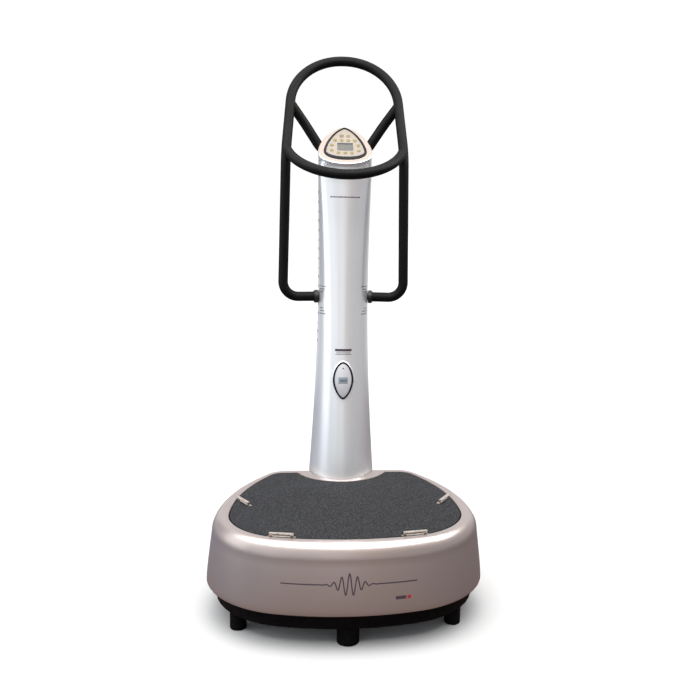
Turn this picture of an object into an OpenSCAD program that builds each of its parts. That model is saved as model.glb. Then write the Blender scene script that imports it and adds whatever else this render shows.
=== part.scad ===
// Vibration plate: a free-standing gym machine. A motor-driven platform floats on four
// rubber isolators inside a moulded base, and a column behind it carries the handlebar
// and the control console. Millimetres, +Z up, the user stands facing +Y.
// The origin is on the floor under the middle of the machine.

/* [Base] */
// Width of the base cover at its widest
base_w = 730; // [724:1:736]
// Depth from the front of the base to the heel of the column
base_d = 830; // [824:1:836]
// Height of the standing surface above the floor
deck_h = 268; // [264:1:272]
// Clearance between the floor and the tray
ground_gap = 50; // [47:1:52]
// Gap between the moving platform and the cover around it
platform_gap = 4; // [3.5:0.5:5]
// Wall thickness of the moulded covers
wall = 3; // [2.5:0.5:3.5]

/* [Column] */
// Half width of the column where it enters the base
column_half_w = 97; // [94:1:98]
// Half width of the column at its waist
waist_half_w = 73; // [71:1:75]
// Height of the waist, level with the handlebar's lower ends
waist_z = 818; // [800:1:830]
// Height of the console's front edge
console_z = 1182; // [1170:1:1190]

/* [Handlebar] */
// Outer diameter of the handlebar tube
tube_d = 28; // [26:1:30]
// Top of the handlebar above the floor
handle_h = 1495; // [1480:1:1505]
// Half the distance between the upright legs at the elbows
leg_half_w = 176; // [172:1:180]
// Angle by which the top arch leans back
arch_lean = 31; // [28:1:34]
// Reach of the front grip bar forward of the legs
grip_reach = 100; // [90:1:110]

/* [Moving parts] */
// Diameter of a console key
key_d = 10.5; // [9.5:0.1:10.8]
// Travel of a console key
key_travel = 0.8; // [0.4:0.1:1]
// Outer diameter of a vibration motor's housing
motor_d = 110; // [104:1:112]
// Travel of a levelling foot
foot_travel = 6; // [3:1:8]

/* [Hidden] */
fine = 64;
coarse = 32;
front_y = -base_d / 2;
heel_y = base_d / 2;
cover_z = ground_gap + 44;

// ---------------------------------------------------------------- colours
silver = "silver";
black = "#1c1c1e";
charcoal = "#3b3d40";
steel = "lightslategray";
champagne = "#e6d8c4";

// ---------------------------------------------------------------- helpers
function lerp(a, b, t) = a + (b - a) * t;
function clamp01(t) = min(1, max(0, t));
function sgn(v) = v < 0 ? -1 : 1;
function unit(v) = v / norm(v);
// Points of an arc, without its last one, so that arcs can be chained.
function arc_pts(c, r, a0, a1, n) =
    [for (i = [0:n - 1]) let (a = lerp(a0, a1, i / n)) c + r * [cos(a), sin(a)]];
// A right half outline from x = 0 to x = 0, closed by its mirror image.
function mirrored(h) = concat(h, [for (i = [len(h) - 2:-1:1]) [-h[i].x, h[i].y]]);
function at_z(outline, z) = [for (p = outline) [p.x, p.y, z]];
// A closed oval whose front and rear halves are superellipses of their own depth and exponent.
function oval(a, b_front, b_rear, n_front, n_rear, c, count) =
    [for (i = [0:count - 1]) oval_pt(a, b_front, b_rear, n_front, n_rear, c, 360 * i / count - 90)];
function oval_pt(a, b_front, b_rear, n_front, n_rear, c, ang) =
    let (n = sin(ang) < 0 ? n_front : n_rear, b = sin(ang) < 0 ? b_front : b_rear)
    [a * sgn(cos(ang)) * pow(abs(cos(ang)), 2 / n),
     c + b * sgn(sin(ang)) * pow(abs(sin(ang)), 2 / n)];

// Skin over rings of equal length. loop closes the last ring onto the first; otherwise caps do:
// flat ones, or for the rings of a bent wall a strip between its outer and inner face.
module skin(rings, loop = false, strip = false) {
    n = len(rings[0]);
    m = len(rings);
    spans = loop ? m : m - 1;
    sides = [for (j = [0:spans - 1]) for (i = [0:n - 1])
        let (a = j * n + i, b = j * n + (i + 1) % n, c = ((j + 1) % m) * n + i, d = ((j + 1) % m) * n + (i + 1) % n)
        each [[a, c, d], [a, d, b]]];
    t = (m - 1) * n;
    caps = loop ? [] : strip
        ? [for (i = [0:n / 2 - 2]) each [[i, i + 1, n - 2 - i, n - 1 - i], [t + n - 1 - i, t + n - 2 - i, t + i + 1, t + i]]]
        : [[for (i = [0:n - 1]) i], [for (i = [n - 1:-1:0]) t + i]];
    polyhedron([for (r = rings) each r], concat(sides, caps), convexity = 10);
}

// Places its children on an axis that starts at p and runs along d.
module along(p, d) {
    z = unit(d);
    x = abs(z.z) > 0.99 ? [1, 0, 0] : unit(cross([0, 0, 1], z));
    y = cross(z, x);
    multmatrix([[x.x, y.x, z.x, p.x], [x.y, y.y, z.y, p.y], [x.z, y.z, z.z, p.z], [0, 0, 0, 1]])
        children();
}

// A tube bent as on a bending machine: straight runs between points, an arc of its own radius at each.
// The runs reach a little way into the arcs and are a hair thinner there. bore 0 makes a solid bar.
module bent_tube(p, bend, r, bore) {
    reach = 1;
    hair = 0.2;
    last = len(p) - 1;
    dirs = [for (i = [0:last - 1]) unit(p[i + 1] - p[i])];
    turn = [for (i = [0:last]) i == 0 || i == last ? 0 : acos(dirs[i - 1] * dirs[i])];
    trim = [for (i = [0:last]) i == 0 || i == last ? 0 : bend[i] * tan(turn[i] / 2)];
    for (i = [0:last - 1]) {
        start = trim[i] - (i > 0 ? reach : 0);
        run = norm(p[i + 1] - p[i]) - start - trim[i + 1] + (i < last - 1 ? reach : 0);
        along(p[i] + dirs[i] * start, dirs[i]) difference() {
            cylinder(h = run, r = r - hair, $fn = fine);
            if (bore > 0) translate([0, 0, -1]) cylinder(h = run + 2, r = bore + hair, $fn = fine);
        }
    }
    for (i = [1:1:last - 1]) {
        axis = unit(cross(dirs[i - 1], dirs[i]));
        inward = cross(axis, dirs[i - 1]);
        centre = p[i] - dirs[i - 1] * trim[i] + inward * bend[i];
        x = -inward;
        y = cross(axis, x);
        multmatrix([[x.x, y.x, axis.x, centre.x], [x.y, y.y, axis.y, centre.y],
                    [x.z, y.z, axis.z, centre.z], [0, 0, 0, 1]])
            rotate_extrude(angle = turn[i], $fn = fine) translate([bend[i], 0]) difference() {
                circle(r = r, $fn = fine);
                if (bore > 0) circle(r = bore, $fn = fine);
            }
    }
}

// ---------------------------------------------------------------- plan outlines
// A plan is [front y, half width, front radius, corner radius, side radius, rear corner radius, rear y].
mat_plan = [front_y + 58, base_w / 2 - 64, 764, 170, 600, 42, 170];
skirt_plan = [front_y, base_w / 2, 700, 250, 470, 90, 230];
function grown(plan, g) = [plan[0] - g, plan[1] + g, plan[2] + g, plan[3] + g, plan[4] + g, plan[5] + g, plan[6] + g];
function half_plan(plan) =
    let (fy = plan[0], hw = plan[1], rf = plan[2], rc = plan[3], rs = plan[4], rr = plan[5], ry = plan[6],
         side_y = fy + rf - sqrt(pow(rf - rc, 2) - pow(hw - rc, 2)),
         front_a = asin((hw - rc) / (rf - rc)),
         rise = ry - rr - side_y,
         side_a = asin(rise / (rs - rr)),
         rear_x = hw - rs + sqrt(pow(rs - rr, 2) - rise * rise))
    concat(arc_pts([0, fy + rf], rf, -90, front_a - 90, 6),
           arc_pts([hw - rc, side_y], rc, front_a - 90, 0, 10),
           arc_pts([hw - rs, side_y], rs, 0, side_a, 8),
           arc_pts([rear_x, ry - rr], rr, side_a, 90, 6),
           [[rear_x, ry]]);
// The bay in the rear edge: an arc of an ellipse about the column's foot.
foot_y = 225;
bay_steps = 9;
function bay(a, b, ry) =
    let (start = asin((ry - foot_y) / b))
    [for (i = [0:bay_steps]) let (t = lerp(start, -90, i / bay_steps)) [a * (i == bay_steps ? 0 : cos(t)), foot_y + b * sin(t)]];
function plan_outline(plan, a, b) = mirrored(concat(half_plan(plan), bay(a, b, plan[6])));

// ---------------------------------------------------------------- column section
column_rear_y = 345;
column_front_y = 105;
rear_apex_y = 232;
neck_front_y = 120;
head_mid_y = 152;
flare = 550;
function low_t(z) = pow(clamp01((waist_z - max(z, deck_h)) / flare), 1.7);
function high_t(z) = pow(clamp01((z - waist_z) / (console_z - waist_z)), 2);
function rise_t(z) = clamp01((z - deck_h) / (console_z - deck_h));
function col_a(z) = waist_half_w + (column_half_w - waist_half_w) * low_t(z) + 3.5 * high_t(z);
function col_front(z) = 135 - (135 - column_front_y) * low_t(z) - (135 - neck_front_y) * high_t(z);
function col_mid(z) = lerp(foot_y, head_mid_y, pow(rise_t(z), 3));
function col_rear(z) = z < deck_h
    ? column_rear_y + (heel_y - column_rear_y) * pow((deck_h - z) / (deck_h - cover_z), 1.5)
    : rear_apex_y + (column_rear_y - rear_apex_y) * pow(clamp01((console_z + 91 - z) / (console_z + 91 - deck_h)), 1.5);
function col_nf(z) = lerp(2, 2.15, rise_t(z));
function col_nr(z) = lerp(2, 1.68, rise_t(z));
// One point of the column's section, ang -90 at the front, grown outward by g.
function col_pt(z, ang, g = 0) =
    oval_pt(col_a(z) + g, col_mid(z) - col_front(z) + g, col_rear(z) - col_mid(z) + g, col_nf(z), col_nr(z), col_mid(z), ang);
// The column's front surface at a given x and height.
function col_face_y(x, z) =
    let (n = col_nf(z)) col_mid(z) - (col_mid(z) - col_front(z)) * pow(1 - pow(abs(x) / col_a(z), n), 1 / n);

// ---------------------------------------------------------------- console frame
// Console parts are drawn flat: x across, y up the slope from its front edge, z out of the panel.
panel_tilt = 45;
module on_panel() translate([0, neck_front_y, console_z]) rotate([panel_tilt, 0, 0]) children();
panel_mid = (head_mid_y - neck_front_y) / cos(panel_tilt);
function panel_oval(a, front, rear, n_front) = oval(a, front, rear, n_front, 1.5, panel_mid, 60);
bezel_outer = panel_oval(60, 34, 98, 2.27);
bezel_inner = panel_oval(54.3, 22.5, 92.8, 2.1);
fascia_plan = panel_oval(54, 22.2, 92.5, 2.1);
fascia_board = panel_oval(50, 18, 80, 2.1);
display_w = 43;
display_h = 30;
display_y = 64;
// Key names with their places on the panel.
keys = [["start_key", -9.3, 108.3], ["stop_key", 9.3, 108.3],
        ["program_key", -28, 90], ["repeat_key", -9.3, 90], ["pause_key", 9.3, 90], ["memory_key", 28, 90],
        ["time_down_key", -37.6, 69.5], ["time_up_key", 37.6, 69.5],
        ["frequency_down_key", -38, 48.5], ["frequency_up_key", 38, 48.5],
        ["low_amplitude_key", -18.8, 38], ["amplitude_key", 0, 38], ["high_amplitude_key", 18.8, 38]];

// ---------------------------------------------------------------- handlebar route
tube_r = tube_d / 2;
tube_bore = tube_r - 2.5;
socket_a = 10;
socket_z = waist_z - 20;
socket_dir = [cos(socket_a), -sin(socket_a), 0];
socket_pt = [72.6, 199, socket_z];
knee_z = 1209;
elbow_pt = socket_pt + socket_dir * (leg_half_w - socket_pt.x) / cos(socket_a);
knee_pt = [leg_half_w - 10, 150, knee_z];
arch_pt = [leg_half_w - 29.5, 150 + (handle_h - tube_r - knee_z) * tan(arch_lean), handle_h - tube_r];
arch_r = 153;
function flip(p) = [-p.x, p.y, p.z];
hoop_half = [socket_pt + socket_dir * 3, elbow_pt, knee_pt, arch_pt];
hoop_route = concat(hoop_half, [for (i = [3:-1:0]) flip(hoop_half[i])]);
hoop_bends = [0, 45, 120, arch_r, arch_r, 120, 45, 0];
// The grip bar is one arc in a plane that dips towards the user.
grip_z = 1213;
grip_drop = 66;
grip_half = 162;
grip_sag = norm([grip_reach, grip_drop]);
grip_r = (grip_half * grip_half + grip_sag * grip_sag) / (2 * grip_sag);
grip_dir = [0, -grip_reach, -grip_drop] / grip_sag;
grip_centre = [0, 150.5, grip_z] - grip_dir * (grip_r - grip_sag);
grip_a = asin(grip_half / grip_r);
// The struts run from the arch down behind the head and turn in to its rear flanks.
strut_top = lerp(knee_pt, arch_pt, 0.52);
strut_end = [40, 220.3, 1219];
strut_dir = [0.61, 0.792, 0];
strut_turn = strut_end + strut_dir * 40;
strut_mid = lerp(strut_top, strut_turn, 0.5) + [4, 5, 9];

// ---------------------------------------------------------------- drive and supports
motor_y = [-190, -20];
motor_z = 188;
motor_len = 170;
cap_len = 58;
plate_z = deck_h - 12;
shaft_r = 12;
isolators = [[215, -255], [-215, -255], [190, 95], [-190, 95]];
pedestal_z = 160;
mast_y = 190;
mast_r = 30;
mast_top = 1185;
frame_z = ground_gap + 4;
frame_h = 40;
front_foot_r = 28;
side_foot_r = 21;
feet = [["front_foot", 0, front_y + 58, front_foot_r],
        ["left_front_foot", -275, -268, side_foot_r], ["right_front_foot", 275, -268, side_foot_r],
        ["left_rear_foot", -40, 338, side_foot_r], ["right_rear_foot", 40, 338, side_foot_r]];
stud_r = 6;
boss_r = 14;

// ---------------------------------------------------------------- base
tray_inset = 25;
function heel_outline(g, z = cover_z) = [for (i = [0:47]) col_pt(z, i * 7.5 - 90, g)];
module tray_plan(g) {
    polygon(plan_outline_plain(grown(skirt_plan, -tray_inset - g)));
    polygon(heel_outline(-8 - g));
}
// The same outline with a straight rear edge in place of the bay.
function plan_outline_plain(plan) = mirrored(concat(half_plan(plan), [[0, plan[6]]]));

module base_tray() color(black) {
    flange_z = cover_z + 1;
    seam_x = 172;
    difference() {
        union() {
            translate([0, 0, ground_gap]) linear_extrude(cover_z - ground_gap) tray_plan(0);
            translate([0, 0, cover_z - 1]) linear_extrude(4) difference() {
                polygon(plan_outline_plain(grown(skirt_plan, -tray_inset)));
                polygon(heel_outline(7));
            }
            translate([0, 0, flange_z]) linear_extrude(3) difference() {
                polygon(plan_outline_plain(grown(skirt_plan, -5.5)));
                polygon(heel_outline(6));
            }
        }
        translate([0, 0, frame_z]) linear_extrude(100) tray_plan(4);
        for (s = [-1, 1]) translate([s * seam_x - 0.75, front_y + 10, ground_gap - 1]) cube([1.5, 24, 44]);
        for (f = feet) translate([f[1], f[2], ground_gap - 1]) cylinder(h = 6, r = boss_r + 0.5, $fn = fine);
        for (p = cover_screw_pts) translate([p.x, p.y, flange_z - 1]) cylinder(h = 6, r = 2.6, $fn = fine);
    }
}

cover_screw_pts = [for (s = [-1, 1]) each [[s * 95, front_y + 16], [s * 300, -300], [s * 345, -90], [s * 262, 120]]];
module cover_screws() color(steel) for (p = cover_screw_pts) translate([p.x, p.y, cover_z - 3]) {
    cylinder(h = 3.8, r = 4.5, $fn = coarse);
    cylinder(h = 14, r = 2.4, $fn = coarse);
}

module rail(size, at) translate(at) difference() {
    cube(size);
    long_x = size.x > size.y;
    translate([long_x ? -1 : 3, long_x ? 3 : -1, 3])
        cube([size.x + (long_x ? 2 : -6), size.y + (long_x ? -6 : 2), size.z - 6]);
}

// The plate under the mast, kept inside the column's foot.
module mast_foot(half_depth) intersection() {
    polygon(heel_outline(-14));
    translate([-100, mast_y - half_depth]) square([200, 2 * half_depth]);
}
module chassis_frame() color(charcoal) {
    rear_rail_y = 128;
    difference() {
        union() {
            for (s = [-1, 1]) {
                rail([40, 415, frame_h], [s * 215 - 20, -300, frame_z]);
                rail([30, 230, frame_h], [s * 35 - 15, rear_rail_y + 2, frame_z]);
                translate([s > 0 ? 234 : -280, -284, frame_z]) cube([46, 32, frame_h]);
            }
            rail([390, 36, frame_h], [-195, -318, frame_z]);
            rail([390, 36, frame_h], [-195, 50, frame_z]);
            translate([-16, front_y + 44, frame_z]) cube([32, 56, frame_h]);
            translate([-50, rear_rail_y - 46, frame_z]) cube([100, 50, frame_h]);
            translate([0, 0, frame_z + frame_h]) linear_extrude(8) mast_foot(64);
            for (p = isolators) translate([p.x, p.y, frame_z + 1])
                cylinder(h = pedestal_z - frame_z - 1, r = 24, $fn = fine);
            for (p = isolators) translate([p.x, p.y, pedestal_z - 6]) cylinder(h = 6, r = 38, $fn = fine);
            for (f = feet) translate([f[1], f[2], ground_gap]) cylinder(h = frame_h + 4, r = boss_r, $fn = fine);
        }
        for (f = feet) translate([f[1], f[2], ground_gap - 1]) cylinder(h = frame_h + 20, r = stud_r, $fn = fine);
        for (p = mast_bolt_pts) translate([p.x, p.y, frame_z + frame_h - 1]) cylinder(h = 12, r = 5, $fn = fine);
    }
}

// Height of the shell above the skirt, and how far it has drawn in, from the skirt to the flat rim.
shoulder_z = deck_h - 44;
function wall_in(t) = 15 * pow(t, 1.2);
cover_profile = concat(
    [for (t = [0, 0.3, 0.65, 1]) [wall_in(t), lerp(cover_z, shoulder_z, t)]],
    [for (a = [22, 42, 58, 72, 82, 90]) [15 + 30 * (1 - cos(a)), shoulder_z + 44 * sin(a)]]);
draw_in = 58;
rim_plan = grown(mat_plan, platform_gap);
notch_r = 144.5;
function cover_ring(inset, z, g) =
    let (plan = lerp(skirt_plan, rim_plan, inset / draw_in)) at_z(plan_outline(plan, column_half_w + 2 + g, foot_y - column_front_y + 2 + g), z);
function rim_ring(g, z) =
    let (r = notch_r - platform_gap - g)
    at_z(plan_outline(grown(rim_plan, g), r, r), z);
module base_cover() color(silver) difference() {
    lip = 14;
    outside = [for (p = cover_profile) cover_ring(p[0], p[1], 0)];
    inside = [for (i = [len(cover_profile) - 1:-1:0]) let (p = cover_profile[i])
        cover_ring(p[0] + wall, i < 3 ? p[1] : p[1] - wall, wall)];
    skin(concat(outside,
                [rim_ring(0, deck_h), rim_ring(0, deck_h - lip), rim_ring(wall, deck_h - lip), rim_ring(wall, deck_h - wall)],
                inside), loop = true);
    cable_port();
}

// ---------------------------------------------------------------- column
column_top = console_z - 34;
column_levels = concat([for (t = [0:5]) lerp(cover_z, deck_h, t / 6)], [deck_h, 330, 400, 480, 560, 650, 740],
                       [waist_z, 900, 980, 1060, column_top]);
half_steps = 22;
// side -1 gives the front half of the section, +1 the rear half, as a C-shaped ring.
function half_ring(z, side) =
    let (seam = 0.25,
         a0 = side < 0 ? -180 : 0,
         outer = [for (i = [0:half_steps]) col_pt(z, a0 + 180 * i / half_steps)],
         inner = [for (i = [half_steps:-1:0]) col_pt(z, a0 + 180 * i / half_steps, -wall)])
    at_z([for (p = concat(outer, inner)) [p.x, p.y + side * seam]], z);
module socket_holes() for (s = [0, 1]) mirror([s, 0, 0]) along(socket_pt - socket_dir * 20, socket_dir)
    cylinder(h = 40, r = 12.5, $fn = coarse);
module column_front_shell() color(silver) difference() {
    skin([for (z = column_levels) half_ring(z, -1)], strip = true);
    socket_holes();
    cable_port();
}
module column_rear_shell() color(silver) difference() {
    skin([for (z = column_levels) half_ring(z, 1)], strip = true);
    socket_holes();
    at_power() translate([-28.5, -22.5, -34]) cube([57, 45, 60]);
    for (p = column_screw_pts) along([0, 0, 0] + p, [0, 1, 0]) translate([0, 0, -20]) cylinder(h = 40, r = 2.4, $fn = coarse);
}
// Screws that fix the rear shell, seated on its middle line.
column_screw_pts = [for (z = [310, 540, 900, 1100]) [0, col_rear(z), z]];
module column_screws() color(steel) for (p = column_screw_pts) along(p, [0, 1, 0]) {
    translate([0, 0, 1.2]) cylinder(h = 1.6, r = 4.2, $fn = coarse);
    translate([0, 0, -12]) cylinder(h = 14, r = 2, $fn = coarse);
}

mast_bolt_pts = [for (s = [-1, 1]) for (t = [-1, 1]) [s * 50, mast_y + t * 38]];
module mast() color(charcoal) difference() {
    union() {
        translate([0, mast_y, frame_z + frame_h + 8]) cylinder(h = mast_top - frame_z - frame_h - 8, r = mast_r, $fn = fine);
        translate([0, 0, frame_z + frame_h + 8]) linear_extrude(10) mast_foot(60);
    }
    translate([0, mast_y, frame_z + frame_h]) cylinder(h = mast_top, r = mast_r - 3, $fn = fine);
    for (p = mast_bolt_pts) translate([p.x, p.y, frame_z]) cylinder(h = 100, r = 5, $fn = fine);
}
module mast_bolts() color(steel) for (p = mast_bolt_pts) translate([p.x, p.y, frame_z + frame_h - 1]) {
    cylinder(h = 20, r = 4.9, $fn = coarse);
    translate([0, 0, 19.1]) cylinder(h = 6.5, r = 9, $fn = 6);
}

module handle_bracket() color(charcoal) difference() {
    union() {
        for (s = [0, 1]) mirror([s, 0, 0]) {
            along(socket_pt - socket_dir * 60, socket_dir) cylinder(h = 92, r = tube_bore - 0.2, $fn = fine);
            along(strut_end - strut_dir * 42, strut_dir) cylinder(h = 60, r = 8, $fn = fine);
        }
        translate([-26, 172, mast_top + 0.2]) cube([52, 36, 6]);
        translate([-27, 187, mast_top + 0.2]) cube([54, 18, 44]);
    }
    translate([0, mast_y, socket_z - 40]) cylinder(h = 80, r = mast_r + 0.2, $fn = fine);
    translate([-40, 150, mast_top - 65]) cube([80, 60, 65]);
}

// ---------------------------------------------------------------- handlebar
module handlebar_hoop() color(black) bent_tube(hoop_route, hoop_bends, tube_r, tube_bore);
module hoop_cutter() bent_tube(hoop_route, hoop_bends, tube_r + 0.4, 0);
module handlebar_crossbar() color(black) difference() {
    multmatrix([[1, 0, 0, 0],
                [0, grip_dir.y, grip_dir.z, grip_centre.y],
                [0, grip_dir.z, -grip_dir.y, grip_centre.z], [0, 0, 0, 1]])
        rotate([0, 0, 90 - grip_a]) rotate_extrude(angle = 2 * grip_a, $fn = fine) translate([grip_r, 0]) difference() {
            circle(r = tube_r, $fn = fine);
            circle(r = tube_bore, $fn = fine);
        }
    hoop_cutter();
}
module handlebar_struts() color(black) for (s = [0, 1]) mirror([s, 0, 0]) difference() {
    bent_tube([strut_top, strut_mid, strut_turn, strut_end + strut_dir * 1.5], [0, 220, 34, 0], tube_r, tube_bore);
    hoop_cutter();
}
module collar(p, d, r) along(p, d) difference() {
    cylinder(h = 12, r = 19, $fn = fine);
    translate([0, 0, -1]) cylinder(h = 14, r = r + 0.15, $fn = fine);
}
module handlebar_collars() color(black) for (s = [0, 1]) mirror([s, 0, 0]) {
    collar(socket_pt + socket_dir * 2, socket_dir, tube_r);
    collar(strut_end + strut_dir * 3.5, strut_dir, tube_r);
}

// ---------------------------------------------------------------- console
head_steps = 56;
head_levels = [0, 0.4, 0.7, 0.85, 0.93, 1];
// The head's edge in the plane of the panel, drawn in by g.
function head_top(ang, g) = let (p = oval_pt(76.6 + g, 46.2 + g, 101.6 + 2 * g, 2.15, 1.68, panel_mid, ang))
    [p.x, neck_front_y + p.y * cos(panel_tilt), console_z + p.y * sin(panel_tilt)];
// A ring of the head at a share t of the way from its seam up to the sloping edge.
function head_ring(t, g) = [for (i = [0:head_steps - 1])
    let (ang = 360 * i / head_steps - 90, low = col_pt(column_top + 0.5, ang, g), top = head_top(ang, g), e = pow(t, 6))
    [lerp(low.x, top.x, e), lerp(low.y, top.y, e), lerp(column_top + 0.5, top.z, t)]];
// A ring that follows the bezel's outline, sunk by depth along the panel's normal.
function seat_ring(g, depth) = [for (i = [0:head_steps - 1])
    let (p = oval_pt(60.3 + g, 34.3 + g, 98.3 + g, 2.27, 1.5, panel_mid, 360 * i / head_steps - 90))
    [p.x, neck_front_y + p.y * cos(panel_tilt) + depth * sin(panel_tilt), console_z + p.y * sin(panel_tilt) - depth * cos(panel_tilt)]];
module console_housing() color(silver) difference() {
    skin(concat([for (t = head_levels) head_ring(t, 0)],
                [seat_ring(0, 0), seat_ring(0, 3), seat_ring(1, 3)],
                [for (k = [3:-1:0]) head_ring(head_levels[k], -wall)]), loop = true);
    for (s = [0, 1]) mirror([s, 0, 0]) along(strut_end - strut_dir * 16, strut_dir) cylinder(h = 40, r = 9, $fn = coarse);
}
module console_bezel() color(black) on_panel() translate([0, 0, -2.9]) linear_extrude(4.1) difference() {
    polygon(bezel_outer);
    polygon(bezel_inner);
}
module console_fascia() color(champagne) on_panel() translate([0, 0, -2.2]) difference() {
    linear_extrude(2) polygon(fascia_plan);
    translate([-display_w / 2, display_y - display_h / 2, -1]) cube([display_w, display_h, 4]);
    for (k = keys) translate([k[1], k[2], -1]) cylinder(h = 4, r = key_d / 2 + 0.3, $fn = fine);
}
module console_display() color("#8a8f94") on_panel() translate([-display_w / 2 + 0.2, display_y - display_h / 2 + 0.2, -3])
    cube([display_w - 0.4, display_h - 0.4, 2.4]);
module console_board() color("darkgreen") on_panel() {
    translate([0, 0, -7.4]) linear_extrude(1.6) polygon(fascia_board);
    for (k = keys) translate([k[1], k[2], -5.9]) cylinder(h = 5.9 - 3.3 - key_travel, r = 3, $fn = coarse);
    translate([-19, display_y - 13, -5.9]) cube([38, 26, 2.6]);
}
module key(k) color(k[0] == "start_key" ? "green" : "#b5ad4e") on_panel() translate([k[1], k[2], -3.2])
    cylinder(h = 4.0, r = key_d / 2, $fn = fine);

// ---------------------------------------------------------------- repeater display
repeater_z = 562;
repeater_y = col_front(repeater_z) - 2.5;
repeater_tilt = 3.2;
module on_repeater() translate([0, repeater_y, repeater_z]) rotate([90 - repeater_tilt, 0, 0]) children();
function repeater_plan(g) = oval(30 + g, 57 + g, 53 + g, 1.6, 1.85, 0, 56);
// The boss stands on the column's curved face, and its flat front carries the display.
function boss_ring(share, g, gap) = [for (p = repeater_plan(g)) let (x = p.x * share, z = repeater_z + p.y * share)
    [x, col_face_y(x, z) - gap, z]];
function boss_top(g, out) = [for (p = repeater_plan(g)) [p.x, repeater_y - out + p.y * tan(repeater_tilt), repeater_z + p.y]];
module repeater_housing() color(silver)
    skin([boss_ring(0.04, 2.2, 0.6), boss_ring(0.25, 2.2, 0.6), boss_ring(0.5, 2.2, 0.6), boss_ring(0.75, 2.2, 0.6),
          boss_ring(1, 2.2, 0.6), boss_top(1.4, -1.2), boss_top(0.2, -0.2)]);
module repeater_bezel() color(black) on_repeater() difference() {
    linear_extrude(2.8) polygon(repeater_plan(0));
    translate([0, 0, -1]) linear_extrude(5) polygon(repeater_plan(-5.2));
}
module repeater_fascia() color(silver) on_repeater() difference() {
    linear_extrude(1.8) polygon(repeater_plan(-5.4));
    translate([-12.5, -10, 0.6]) cube([25, 17, 3]);
    translate([0, 34, 0.6]) cylinder(h = 3, r = 2.2, $fn = coarse);
}
module repeater_display() color("#9fb0b8") on_repeater() translate([-12.3, -9.8, 0.65]) cube([24.6, 16.6, 1.3]);
module repeater_eye() color("#40464a") on_repeater() translate([0, 34, 0.65]) cylinder(h = 1.5, r = 2, $fn = coarse);

// ---------------------------------------------------------------- power entry
power_z = 138;
power_tilt = 24;
power_y = col_rear(power_z);
// Local z points out of the heel, local y up its slope.
module at_power() translate([0, power_y, power_z]) rotate([-90 + power_tilt, 0, 0]) rotate([0, 0, 180]) children();
rocker_x = 16;
module power_inlet() color(black) at_power() difference() {
    translate([-28, -22, -32]) cube([56, 44, 35]);
    translate([-24, -9, -16]) cube([27, 18, 30]);
    translate([rocker_x - 7, -12, -12]) cube([14, 24, 30]);
    translate([rocker_x - 8.6, 0, rocker_pivot_z]) rotate([0, 90, 0]) cylinder(h = 17.2, r = 1.85, $fn = fine);
}
module inlet_pins() color(steel) at_power() for (p = [[-17, 0], [-10.5, 3], [-4, 0]])
    translate([p.x - 1, p.y - 2, -17]) cube([2, 4, 15]);
rocker_pivot_z = -2;
rocker_swing = 16;
module power_rocker() color("crimson") at_power() translate([rocker_x, 0, rocker_pivot_z]) rotate([-rocker_swing / 2, 0, 0]) {
    intersection() {
        translate([-6.5, -11, -7]) cube([13, 22, 14]);
        translate([-8, 0, -13]) rotate([0, 90, 0]) cylinder(h = 16, r = 20.5, $fn = fine);
    }
    translate([-8.2, 0, 0]) rotate([0, 90, 0]) cylinder(h = 16.4, r = 1.8, $fn = fine);
}

// ---------------------------------------------------------------- drive
module vibration_plate() color(charcoal) difference() {
    union() {
        translate([0, 0, plate_z]) linear_extrude(8) polygon(plan_outline(grown(mat_plan, -0.5), notch_r + 0.5, notch_r + 0.5));
        for (p = isolators) translate([p.x, p.y, plate_z - 8]) cylinder(h = 8.5, r = 34, $fn = fine);
        for (y = motor_y) for (s = [-1, 1]) translate([s * 70 - 16, y - 62, plate_z - 8]) cube([32, 124, 8.5]);
        for (s = [-1, 1]) translate([s * 150 - 3, -280, plate_z - 22]) cube([6, 360, 22.5]);
    }
    for (p = motor_bolt_pts) translate([p.x, p.y, plate_z - 9]) cylinder(h = 14, r = 4.1, $fn = coarse);
}
module grip_mat() color(charcoal) translate([0, 0, plate_z + 8.05]) linear_extrude(deck_h - plate_z - 8.05) difference() {
    polygon(plan_outline(mat_plan, notch_r, notch_r));
    for (c = cleats) translate([c[0], c[1]]) rotate(c[2]) translate([-35, -12]) square([70, 17]);
}
// Cleats for exercise straps: place and turn, with the local -y side outward.
cleats = [[163, -329, 9.5], [-163, -329, -9.5], [268, -84, 58], [-268, -84, -58]];
module strap_cleats() color(champagne) for (c = cleats) translate([c[0], c[1], plate_z + 8.1]) rotate(c[2]) difference() {
    union() {
        translate([-34, -6, 0]) cube([68, 10, 2.2]);
        translate([-30, -6, 0]) cube([60, 2.4, 13]);
        translate([-30, -13, 10.6]) cube([60, 9.4, 2.4]);
    }
    for (s = [-1, 1]) translate([s * 31.5, 0.2, -1]) cylinder(h = 5, r = 2, $fn = coarse);
    translate([-22, -8, 2.2]) cube([44, 6, 8.4]);
}

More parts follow.
